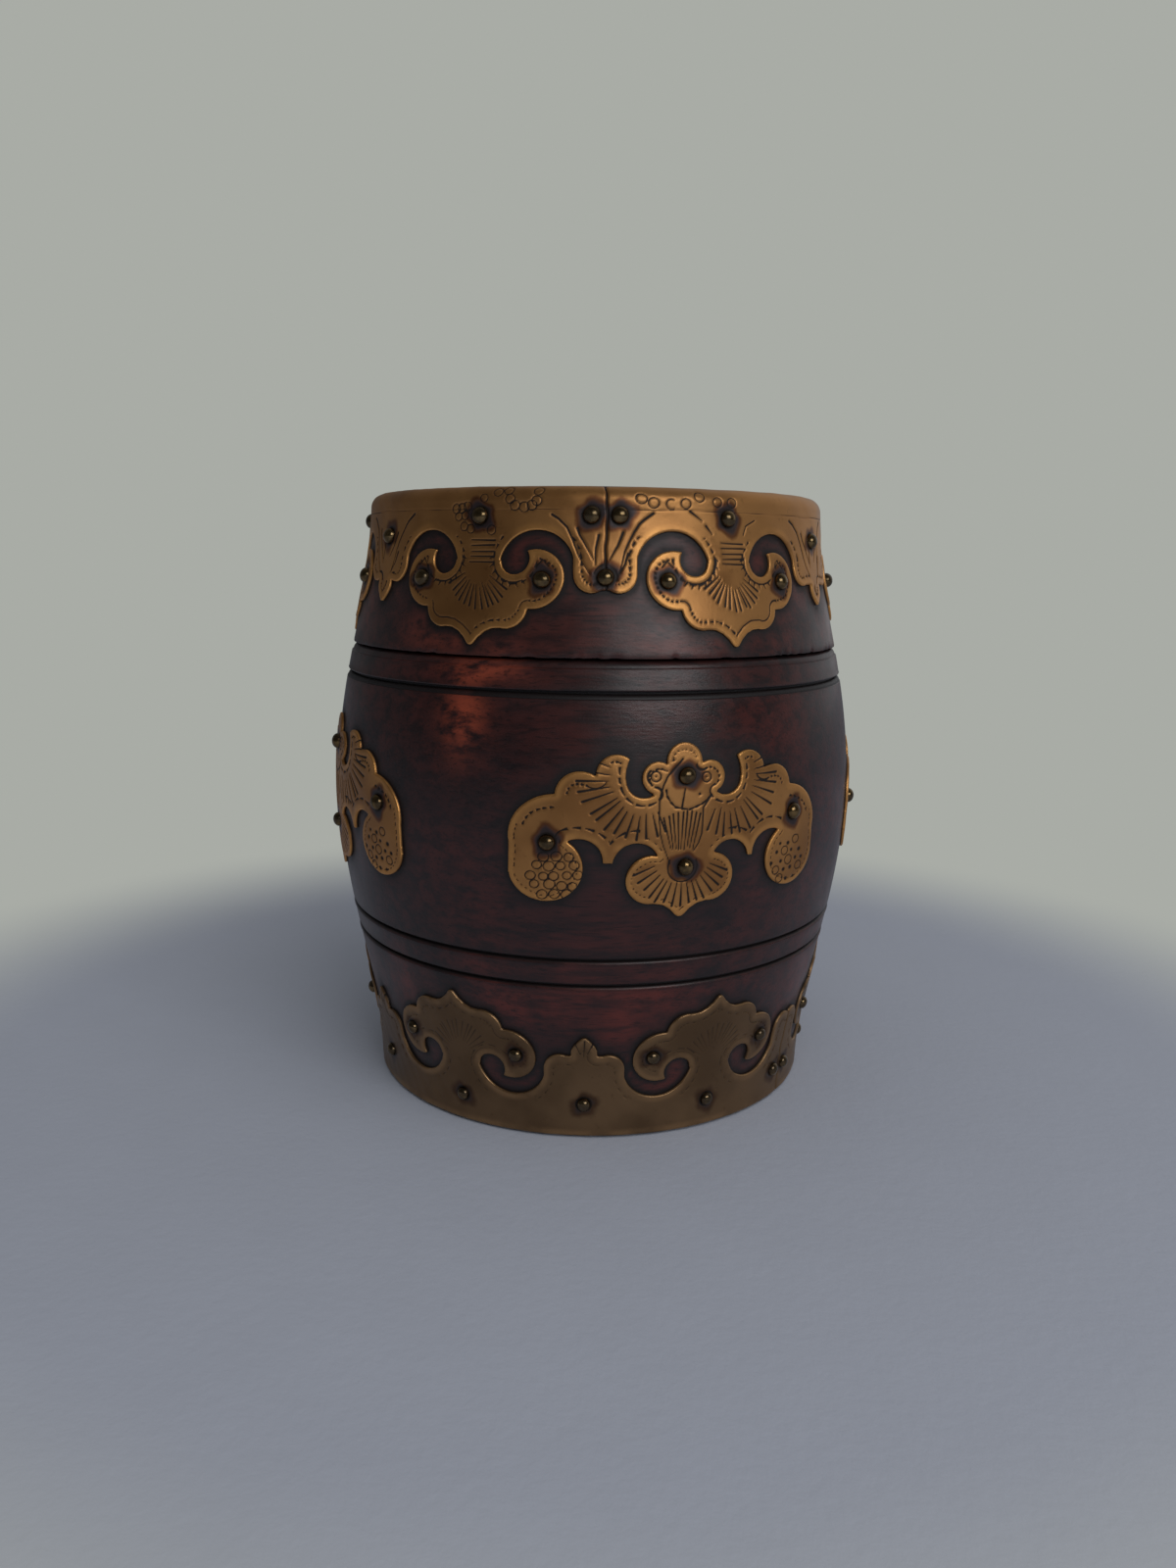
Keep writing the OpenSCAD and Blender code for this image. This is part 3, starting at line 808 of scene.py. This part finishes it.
def nail_heads(name, places, body, node, head):
    """Dome heads, each a little off round, standing square to the wall."""
    verts, faces = [], []
    around_n, up_n = 28, 8
    for turn, v in places:
        r, z = on_meridian(np.array([v]))
        nr, nz = float(np.interp(v, MER_V, MER_NR)), float(np.interp(v, MER_V, MER_NZ))
        normal = Vector((nr * math.sin(turn), -nr * math.cos(turn), nz))
        side = Vector((math.cos(turn), math.sin(turn), 0))
        up = normal.cross(side)
        seat = Vector((float(r[0]) * math.sin(turn), -float(r[0]) * math.cos(turn), float(z[0])))
        wide = head * (1 + jig(0.02))
        tall = head * HEAD_SHARE * (1 + jig(0.04))
        phase, oval = rng.uniform(0, 6.28), abs(jig(0.025))
        base = len(verts)
        for k in range(up_n + 1):
            a = k / up_n * math.pi / 2
            for i in range(around_n):
                b = 2 * math.pi * i / around_n
                rho = wide * math.cos(a) * (1 + oval * math.cos(2 * (b - phase)))
                lift = tall * math.sin(a) + 0.02 if k else -0.15
                p = seat + side * rho * math.cos(b) + up * rho * math.sin(b) + normal * lift
                verts.append(tuple(p))
                if k == up_n:
                    break
        for k in range(up_n):
            for i in range(around_n):
                j = (i + 1) % around_n
                a, b = base + k * around_n + i, base + k * around_n + j
                if k == up_n - 1:
                    faces.append((a, b, base + up_n * around_n))
                else:
                    faces.append((a, b, b + around_n, a + around_n))
    obj = new_piece(name, verts, faces, body, [node])
    return obj


# ---- Materials ----

class Graph:
    """Small helper that adds shader nodes to a tree and links them."""

    def __init__(self, owner):
        owner.use_nodes = True
        self.tree = owner.node_tree
        self.tree.nodes.clear()

    def add_node(self, kind):
        return self.tree.nodes.new("ShaderNode" + kind)

    def put(self, socket, value):
        if isinstance(value, bpy.types.NodeSocket):
            self.tree.links.new(value, socket)
        elif isinstance(value, (tuple, list)) and len(value) == 3 and socket.type == "RGBA":
            socket.default_value = (*value, 1)
        else:
            socket.default_value = value

    def math(self, op, a, b=0.0):
        n = self.add_node("Math")
        n.operation = op
        self.put(n.inputs[0], a)
        self.put(n.inputs[1], b)
        return n.outputs[0]

    def add(self, a, b):
        return self.math("ADD", a, b)

    def sub(self, a, b):
        return self.math("SUBTRACT", a, b)

    def mul(self, a, b):
        return self.math("MULTIPLY", a, b)

    def span(self, value, a, b, to_a=0.0, to_b=1.0):
        """Runs smoothly from to_a to to_b as value goes from a to b."""
        n = self.add_node("MapRange")
        n.interpolation_type = "SMOOTHSTEP"
        self.put(n.inputs["Value"], value)
        for key, x in zip(("From Min", "From Max", "To Min", "To Max"), (a, b, to_a, to_b)):
            n.inputs[key].default_value = x
        return n.outputs[0]

    def mix_shader(self, fac, a, b):
        n = self.add_node("MixShader")
        for socket, value in zip(n.inputs, (fac, a, b)):
            self.put(socket, value)
        return n.outputs[0]


class Nodes(Graph):
    """The nodes of a material round one Principled shader."""

    def __init__(self, name):
        self.mat = bpy.data.materials.new(name)
        super().__init__(self.mat)
        self.out = self.add_node("OutputMaterial")
        self.bsdf = self.add_node("BsdfPrincipled")
        self.put(self.out.inputs[0], self.bsdf.outputs[0])
        self.coord = self.add_node("TexCoord").outputs["Object"]

    def set(self, name, value):
        self.put(self.bsdf.inputs[name], value)

    def scaled(self, scale):
        n = self.add_node("Mapping")
        n.inputs["Scale"].default_value = scale
        self.put(n.inputs["Vector"], self.coord)
        return n.outputs[0]

    def noise(self, scale, detail=3.0, rough=0.55, at=None, distortion=0.0):
        n = self.add_node("TexNoise")
        self.put(n.inputs["Vector"], at or self.coord)
        for key, x in (("Scale", scale), ("Detail", detail), ("Roughness", rough),
                       ("Distortion", distortion)):
            n.inputs[key].default_value = x
        return n.outputs["Fac"]

    def mix(self, fac, a, b):
        n = self.add_node("Mix")
        n.data_type = "RGBA"
        self.put(n.inputs[0], fac)
        self.put(n.inputs[6], a)
        self.put(n.inputs[7], b)
        return n.outputs[2]

    def parts(self, name):
        """The three numbers that a mesh stores at each point."""
        n = self.add_node("Attribute")
        n.attribute_name = name
        s = self.add_node("SeparateColor")
        self.put(s.inputs[0], n.outputs["Color"])
        return s.outputs[0], s.outputs[1], s.outputs[2]

    def bump(self, value, strength, distance):
        n = self.add_node("Bump")
        n.inputs["Strength"].default_value = strength
        n.inputs["Distance"].default_value = distance
        self.put(n.inputs["Height"], value)
        self.put(self.bsdf.inputs["Normal"], n.outputs[0])


def brass(name, gold, brown, stained, edge_gold):
    """Engraved sheet brass: even patina, rubbed gold by its edges, black cuts and tarnish."""
    m = Nodes(name)
    ink, edge, halo = m.parts("wear")
    cloud = m.noise(70, 3, 0.5)
    fine = m.noise(1500, 3, 0.65)
    speck = m.noise(520, 4, 0.7)
    base = m.mix(m.span(cloud, 0.3, 0.7), brown, gold)
    base = m.mix(m.span(speck, 0.58, 0.74, 0, 0.35), base, tuple(c * 0.45 for c in brown))
    warm = m.mul(m.span(edge, 0.2, 0.75), m.span(m.noise(130, 3), 0.3, 0.62))
    base = m.mix(m.mul(warm, 0.7), base, edge_gold)
    bright = m.mul(m.span(edge, 0.9, 0.99), m.span(m.noise(210, 2), 0.42, 0.58))
    base = m.mix(m.mul(bright, 0.8), base, tuple(min(1, c * 1.4) for c in edge_gold))
    tarnish = m.add(halo, m.mul(m.sub(m.noise(260, 4), 0.5), 0.5))
    base = m.mix(m.span(tarnish, 0.08, 0.34, 0, 0.8), base, stained)
    base = m.mix(m.span(tarnish, 0.26, 0.58, 0, 0.93), base, (0.016, 0.013, 0.017))
    base = m.mix(m.span(ink, 0.2, 0.75), base, (0.013, 0.008, 0.006))
    m.set("Base Color", base)
    m.set("Metallic", m.span(m.math("MAXIMUM", ink, m.span(tarnish, 0.2, 0.6)), 0.2, 1.0, 0.9, 0.3))
    rough = m.add(m.span(cloud, 0.3, 0.7, 0.34, 0.44), m.mul(ink, 0.2))
    m.set("Roughness", m.add(rough, m.mul(fine, 0.08)))
    m.bump(m.add(m.mul(fine, 0.5), m.mul(speck, 0.6)), 0.3,
           0.0001)
    return m.mat


def nail_brass(name, gold, brown):
    """Dark cast nails, smooth enough to show the window as one small light."""
    m = Nodes(name)
    cloud = m.noise(500, 4, 0.6)
    fine = m.noise(2200, 2, 0.6)
    m.set("Base Color", m.mix(m.span(cloud, 0.42, 0.7), brown, gold))
    m.set("Metallic", m.span(cloud, 0.3, 0.5, 0.8, 1.0))
    m.set("Roughness", m.add(m.span(cloud, 0.35, 0.65, 0.24, 0.16),
                              m.mul(fine, 0.08)))
    m.bump(m.add(cloud, m.mul(fine, 0.4)), 0.25, 0.00012)
    return m.mat


GRAIN_RUN = 0.13            # the fibres lie along X, so the grain is stretched that way


def wood(name, red, dark, warm_to, patch_to, gloss):
    """Polished rosewood: dark streaks on red, pores, grime and painted shade beside the brass and
    in the grooves, worn warm places.
    """
    m = Nodes(name)
    warm, grime_and_shade, patch = m.parts("zone")
    flow = m.scaled((GRAIN_RUN, 1, 1))
    streak = m.noise(520, 5, 0.66, flow, 0.35)
    broad = m.noise(60, 4, 0.55, m.scaled((0.3, 1, 1)), 0.4)
    pores = m.noise(2300, 2, 0.5, m.scaled((0.09, 1, 1)))
    blotch = m.noise(62, 4, 0.6)
    grit = m.noise(2600, 2, 0.6)
    base = m.mix(m.span(streak, 0.38, 0.64), red, dark)
    base = m.mix(m.mul(m.span(broad, 0.42, 0.68), 0.5), base, dark)
    lit = m.mul(warm, m.span(blotch, 0.34, 0.68))
    base = m.mix(m.mul(lit, m.span(streak, 0.66, 0.4, 0.35, 1)), base, warm_to)
    glow = m.mul(patch, m.span(m.noise(420, 4, 0.6, flow), 0.34, 0.6))
    base = m.mix(glow, base, patch_to)
    base = m.mix(m.mul(m.span(pores, 0.56, 0.7), 0.55), base,
                 tuple(c * 0.3 for c in dark))
    # Near black where the zone's second number is high: dirt, and painted shade beside the brass
    # and in the grooves.
    soiled_and_shaded = m.mul(grime_and_shade, m.span(blotch, 0.2, 0.7, 0.85, 1.0))
    base = m.mix(soiled_and_shaded, base, (0.006, 0.004, 0.004))
    m.set("Base Color", base)
    rough = m.span(m.noise(75, 4, 0.6), 0.3, 0.7, gloss, gloss + 0.1)
    rough = m.add(rough, m.mul(grime_and_shade, 0.2))
    m.set("Roughness", m.add(rough, m.mul(pores, 0.08)))
    m.bump(m.add(m.mul(streak, 0.6),
                  m.add(m.mul(grit, 0.35), m.mul(pores, -0.5))),
           0.3, 0.00012)
    return m.mat


def inner_wood(name, light, dark):
    m = Nodes(name)
    streak = m.noise(110, 5, 0.6, m.scaled((1, 0.14, 1)), 0.5)
    pores = m.noise(1100, 2, 0.5, m.scaled((1, 0.1, 1)))
    base = m.mix(m.span(streak, 0.35, 0.65), light, dark)
    base = m.mix(m.mul(m.span(pores, 0.56, 0.7), 0.45), base,
                 tuple(c * 0.4 for c in dark))
    m.set("Base Color", base)
    m.set("Roughness", m.span(streak, 0.3, 0.7, 0.5, 0.68))
    m.bump(m.add(streak, pores), 0.3, 0.00012)
    return m.mat


# ---- Places read from the frame ----

lid_nails = {kind: nail_places("lid_%s_nails" % kind)
             for kind in ("neck", "leaf", "scroll", "joint")}
base_nails = {kind: nail_places("base_%s_nails" % kind)
              for kind in ("foot", "leaf", "scroll", "joint")}
bats = [nail_places("bat_nails_%d" % i) for i in (1, 2, 3, 4)]

LID_SCROLL_DROP, BASE_SCROLL_Z, BASE_LEAF_RISE, BAT_MIDDLE = 14.0, 14.6, 7.6, 60.0
lid_scroll_z = HEIGHT - LID_SCROLL_DROP
lid_joint = float(np.mean([t for t, _ in lid_nails["joint"]]))
base_joint = float(np.mean([t for t, _ in base_nails["joint"]]))

# ---- Brass pieces ----

def heart(plate, turn, v, sign):
    """The small pointed cut above the nail of a scroll."""
    at = (turn, float(height_of(np.array(v))), sign)
    plate.line(at, wobble([(-1.0, -2.2), (0.0, -3.4), (1.0, -2.2)]), 0.13)


lid_plate = Plate("lid_collar", lid_joint, slit=lid_joint)
lid_plate.measure()
low_part = (lid_plate.y < lid_scroll_z + 5.5)[None, :] & lid_plate.mask_pts
lined = np.zeros_like(low_part)
for i, (turn, _) in enumerate(lid_nails["neck"]):
    at = (turn, lid_scroll_z, -1)
    engrave_pendant(lid_plate, at, i % 2 == 0)
    lined |= lid_plate.inside(at, (0, 9, 1, 14) if i % 2 else (-9, 0, 1, 14))
for turn, _ in lid_nails["leaf"] + [(lid_joint, 0)]:
    engrave_leaf(lid_plate, (turn, lid_scroll_z, -1))
for turn, v in lid_nails["scroll"]:
    heart(lid_plate, turn, v, -1)
lid_plate.border(low_part & ~lined, 1.45, 1.2, 0.7, 0.06, 0.32)
lid_plate.border(low_part & lined, 1.45, fill=1, thick=0.16)
lid_plate.band(lid_scroll_z + 10.0)
lid_plate.nails(lid_nails["neck"] + lid_nails["scroll"] + lid_nails["joint"], HEAD_R, 1.0)
lid_plate.nails(lid_nails["leaf"], HEAD_R, 0.8)

base_plate = Plate("base_collar", base_joint, slit=base_joint)
base_plate.measure()
for turn, _ in base_nails["foot"]:
    engrave_base_pendant(base_plate, (turn, BASE_SCROLL_Z, 1))
for turn, _ in base_nails["leaf"]:
    engrave_base_leaf(base_plate, (turn, BASE_SCROLL_Z, 1), -BASE_LEAF_RISE)
base_plate.border((base_plate.y > BASE_SCROLL_Z - 7)[None, :], 1.9, 1.5, 0.6, 0.06, 0.2, 0.6)
base_plate.nails(sum(base_nails.values(), []), BASE_HEAD_R, 0.6)


def seam(plate, turn):
    """The fine joint between the two ends of a collar."""
    wave = 0.1 + 0.16 * np.sin(0.45 * plate.v) + 0.06 * np.sin(1.7 * plate.v)
    off = wrap(plate.turns - turn)[:, None] * plate.r[None, :] - wave[None, :]
    f = np.exp(-(off / 0.19) ** 2)
    plate.ink = np.maximum(plate.ink, f)
    plate.dip = np.maximum(plate.dip, 0.4 * f)


seam(lid_plate, lid_joint)
seam(base_plate, base_joint)


def bat_turn(places):
    """The turn of a bat: its head and tail nails lie on its middle line."""
    ordered = sorted(places, key=lambda p: p[1])
    return 0.5 * (ordered[0][0] + ordered[-1][0])


turns = [bat_turn(b) for b in bats]
BAT_HALF = math.radians(38)
bat_plate = Plate("bat_mount_1", turns[0], half_turn=BAT_HALF)
bat_plate.measure()
bat_at = (turns[0], BAT_MIDDLE, 1)
engrave_bat(bat_plate, bat_at)
side_x = np.sin(wrap(bat_plate.turns - turns[0]))[:, None] * bat_plate.r[None, :]
up_y = np.broadcast_to(bat_plate.y[None, :] - BAT_MIDDLE, side_x.shape)
arch = np.hypot(np.abs(side_x) - ARCH_X, up_y - ARCH_Y) < ARCH_REACH
upper = (up_y > 0.35 * np.abs(side_x) - 8) & (np.abs(side_x) > ARCH_X) & ~arch
bat_plate.border(arch, 1.2, 1.5, 0.75, 0.14, 0.3)
bat_plate.border(upper, 2.1, 1.6, 0.75, 0.08, 0.34)
bat_plate.border(~arch & ~upper, 1.1, 1.2, 0.6, 0.06, 0.16)
bat_plate.nails(bats[0], HEAD_R, 1.0)

lid_brass_obj = lid_plate.build("lid_collar_engraved", "lid", ["lid_collar"])
base_brass_obj = base_plate.build("base_collar_engraved", "pot", ["base_collar"])
bat_objs = []
for i, turn in enumerate(turns):
    bat_objs.append(bat_plate.build("bat_engraved_%d" % (i + 1), "pot",
                                    ["bat_mount_%d" % (i + 1)], wrap(turn - turns[0])))

nail_sets = [("%s_%s_nails" % (place, kind), spots, body, place + "_nail_brass", head)
             for place, nails, body, head in (("lid", lid_nails, "lid", HEAD_R),
                                              ("base", base_nails, "pot", BASE_HEAD_R))
             for kind, spots in nails.items()]
nail_sets += [("bat_nails_%d" % (i + 1), b, "pot", "bat_nail_brass", HEAD_R)
              for i, b in enumerate(bats)]
nail_objs = [(nail_heads(node + "_heads", spots, body, node, head), slot)
             for node, spots, body, slot, head in nail_sets]

# ---- Wooden pieces ----

SEGMENTS, LID_SEGMENTS = 420, 840
pot_verts, pot_faces = lathe(pot_section(), SEGMENTS)
pot = new_piece("pot_turned", pot_verts, pot_faces, "pot", ["pot_barrel"])
lid_verts, lid_faces = lathe(lid_section(), LID_SEGMENTS)
lid = new_piece("lid_turned", chip(lid_verts), lid_faces, "lid", ["lid_shell"])
for obj in (pot, lid):
    obj.data.set_sharp_from_angle(angle=math.radians(32))

plate_samples = [lid_plate.samples[:, :3], base_plate.samples[:, :3]]
plate_samples += [turned(bat_plate.samples[:, :3], wrap(turn - turns[0])) for turn in turns]
plate_samples = np.vstack(plate_samples)[::4]
brass_tree = kdtree.KDTree(len(plate_samples))
for i, p in enumerate(plate_samples.tolist()):
    brass_tree.insert(p, i)
brass_tree.balance()


def bell(x, width):
    return np.exp(-(x / width) ** 2)


# Worn orange places: turn, half width in degrees, height, half height, strength
PATCHES = [(-26, 4.5, 80, 7, 1.0), (-22, 9, 88, 2.2, 0.8), (-30, 12, 93, 3, 0.35)]


def zones(verts):
    """Warmth, grime with painted shade beside the brass, in the grooves and along the turned lines
    and seam, and the worn orange patches of the wood.
    """
    v = np.array(verts)
    r, z = np.hypot(v[:, 0], v[:, 1]), v[:, 2]
    turn = np.degrees(np.arctan2(v[:, 0], -v[:, 1]))
    outside = r > profile(z) - 1.6
    gap = np.array([brass_tree.find(p)[2] if o else 99.0 for p, o in zip(v.tolist(), outside)])
    gap = np.sqrt(np.maximum(gap ** 2 - PLATE_OUT ** 2, 0))
    # Dark band round the brass: dirt, with painted contact shadow where the plates meet the wood.
    grime_and_shade = 0.9 * bell(gap, 0.85) + 0.5 * bell(gap, 2.5)
    sunk = profile(z) - r
    # Painted shade in the sunken grooves of the wood.
    grime_and_shade = np.where(outside & (z < SEAM_Z - 1.5) & (sunk > 0.1), 0.95, grime_and_shade)
    # Painted shade along each turned line and along the lid's seam.
    for line, _ in LINES:
        grime_and_shade += 0.45 * bell(z - line - 0.2, 1.3) * outside
    grime_and_shade += 0.5 * bell(z - SEAM_Z, 1.2) * outside
    warm = np.where(z > SEAM_Z, 0.75, 0.25)
    warm = np.where(z < LINES[1][0], 0.6, warm)
    warm = np.where(z < LINES[0][0], 0.95, warm)
    warm = np.where(outside, warm, 0.3)
    patch = sum(share * bell(turn - t, wide) * bell(z - h, tall)
                for t, wide, h, tall, share in PATCHES)
    return np.column_stack([warm, np.clip(grime_and_shade, 0, 1), patch * outside])


point_colour(pot, "zone", zones(pot_verts))
point_colour(lid, "zone", zones(lid_verts))

# ---- Finishes ----

GOLD, BROWN, EDGE_GOLD = (0.55, 0.27, 0.092), (0.36, 0.165, 0.055), (0.74, 0.36, 0.11)
STAIN = (0.13, 0.04, 0.02)
lid_brass_obj.data.materials.append(brass("lid_brass_look", GOLD, BROWN, STAIN, EDGE_GOLD))
base_brass_obj.data.materials.append(brass(
    "base_brass_look", (0.24, 0.145, 0.075), (0.15, 0.088, 0.045), (0.09, 0.045, 0.026),
    (0.36, 0.21, 0.10)))
bat_look = brass("bat_brass_look", GOLD, BROWN, STAIN, EDGE_GOLD)
for obj in bat_objs:
    obj.data.materials.append(bat_look)
nail_looks = {
    "lid_nail_brass": nail_brass("lid_nail_look", (0.26, 0.17, 0.075), (0.10, 0.072, 0.04)),
    "bat_nail_brass": nail_brass("bat_nail_look", (0.26, 0.165, 0.07), (0.095, 0.066, 0.036)),
    "base_nail_brass": nail_brass("base_nail_look", (0.24, 0.165, 0.085), (0.10, 0.072, 0.045))}
for obj, slot in nail_objs:
    obj.data.materials.append(nail_looks[slot])
pot.data.materials.append(wood("pot_wood_look", (0.036, 0.0095, 0.0085), (0.011, 0.0055, 0.0058),
                               (0.12, 0.021, 0.015), (0.27, 0.046, 0.019), 0.24))
lid.data.materials.append(wood("lid_wood_look", (0.044, 0.012, 0.010), (0.014, 0.0065, 0.0068),
                               (0.13, 0.025, 0.017), (0.27, 0.046, 0.019), 0.26))
disc_look = inner_wood("disc_wood_look", (0.13, 0.045, 0.025), (0.05, 0.018, 0.012))
for slot in frame["nodes"]["base_disc"].material_slots:
    slot.material = disc_look

# ---- Stage, light and camera ----

FLOOR_SIZE = 3.0
FADE_START, FADE_END = 0.125, 0.21        # distance at which the floor turns into background
WALL_COLOUR = (0.397, 0.413, 0.381)
FLOOR_COLOUR = (0.40, 0.425, 0.50)


def floor_look():
    """Pale floor that runs into the pale background away from the pot, as the camera sees it."""
    m = Nodes("floor_look")
    cloud = m.noise(60, 4, 0.6)
    m.set("Base Color", m.mix(cloud, tuple(c * 0.95 for c in FLOOR_COLOUR), FLOOR_COLOUR))
    m.set("Roughness", m.span(cloud, 0.3, 0.7, 0.85, 0.95))
    m.bump(m.noise(420, 3, 0.6), 0.25, 0.0005)
    far = m.add_node("VectorMath")
    far.operation = "LENGTH"
    m.put(far.inputs[0], m.coord)
    path = m.add_node("LightPath")
    away = m.span(far.outputs["Value"], FADE_START, FADE_END)
    glow = m.add_node("Emission")
    glow.inputs["Color"].default_value = (*WALL_COLOUR, 1)
    m.put(m.out.inputs[0], m.mix_shader(m.mul(away, path.outputs["Is Camera Ray"]),
                                        m.bsdf.outputs[0], glow.outputs[0]))
    return m.mat


floor_mesh = bpy.data.meshes.new("floor")
floor_mesh.from_pydata([(-FLOOR_SIZE, -FLOOR_SIZE, 0), (FLOOR_SIZE, -FLOOR_SIZE, 0),
                        (FLOOR_SIZE, FLOOR_SIZE, 0), (-FLOOR_SIZE, FLOOR_SIZE, 0)], [],
                       [(0, 1, 2, 3)])
floor = bpy.data.objects.new("floor", floor_mesh)
bpy.context.scene.collection.objects.link(floor)
floor_mesh.materials.append(floor_look())

world = bpy.data.worlds.new("studio")
bpy.context.scene.world = world
sky = Graph(world)


def background(colour, strength=1.0):
    node = sky.add_node("Background")
    node.inputs["Color"].default_value = (*colour, 1)
    sky.put(node.inputs["Strength"], strength)
    return node.outputs[0]


# The room as the camera, mirrors and plain surfaces see it: pale wall, dim front, even fill
paths = sky.add_node("LightPath").outputs
direction = sky.add_node("SeparateXYZ")
sky.put(direction.inputs[0], sky.add_node("TexCoord").outputs["Generated"])
behind = sky.span(direction.outputs[1], -0.3, 0.6)
right = sky.span(direction.outputs[0], -0.5, 0.6, 0.12, 1.0)
room = sky.add(sky.mul(sky.mul(behind, right), 0.45), 0.05)
mirrors = sky.math("MAXIMUM", paths["Is Glossy Ray"], paths["Is Transmission Ray"])
unseen = sky.mix_shader(mirrors, background((0.95, 0.98, 1.0), 0.30),
                        background((0.94, 0.97, 1.0), room))
seen = sky.mix_shader(paths["Is Camera Ray"], unseen, background(WALL_COLOUR))
sky.put(sky.add_node("OutputWorld").inputs["Surface"], seen)


def area(name, azimuth, elevation, distance, size, radiance, colour, mirrored=True):
    """A soft lamp that looks at the pot, at a turn and height angle in degrees."""
    t, e = math.radians(azimuth), math.radians(elevation)
    place = Vector((math.sin(t) * math.cos(e), -math.cos(t) * math.cos(e), math.sin(e))) * distance
    aim = Vector((0, 0, 0.07))
    data = bpy.data.lights.new(name, "AREA")
    data.shape = "RECTANGLE"
    data.size, data.size_y = size
    data.energy = radiance * math.pi * size[0] * size[1]
    data.color = colour
    obj = bpy.data.objects.new(name, data)
    obj.location = place + aim
    obj.rotation_euler = (-place).to_track_quat("-Z", "Y").to_euler()
    obj.visible_glossy = mirrored
    bpy.context.scene.collection.objects.link(obj)


area("window", 30, 25, 1.0, (0.62, 0.38), 3.5, (0.96, 0.98, 1.0))
area("ceiling", 30, 55, 1.1, (0.9, 0.7), 1.6, (1.0, 0.98, 0.95), mirrored=False)

CAM_PLACE = (-0.0009, -0.2503, 0.1061)
CAM_PITCH, CAM_ROLL = 10.66, 0.69
cam_data = bpy.data.cameras.new("camera")
cam_data.sensor_width = 36.0
cam_data.lens = 27.05
cam_data.clip_start = 0.01
camera = bpy.data.objects.new("camera", cam_data)
tilt = Euler((math.radians(90 - CAM_PITCH), 0, 0)).to_matrix()
spin = Matrix.Rotation(math.radians(CAM_ROLL), 3, "Z")
camera.matrix_world = Matrix.Translation(CAM_PLACE) @ (tilt @ spin).to_4x4()
bpy.context.scene.collection.objects.link(camera)
bpy.context.scene.camera = camera
bpy.context.scene.view_settings.view_transform = "Standard"
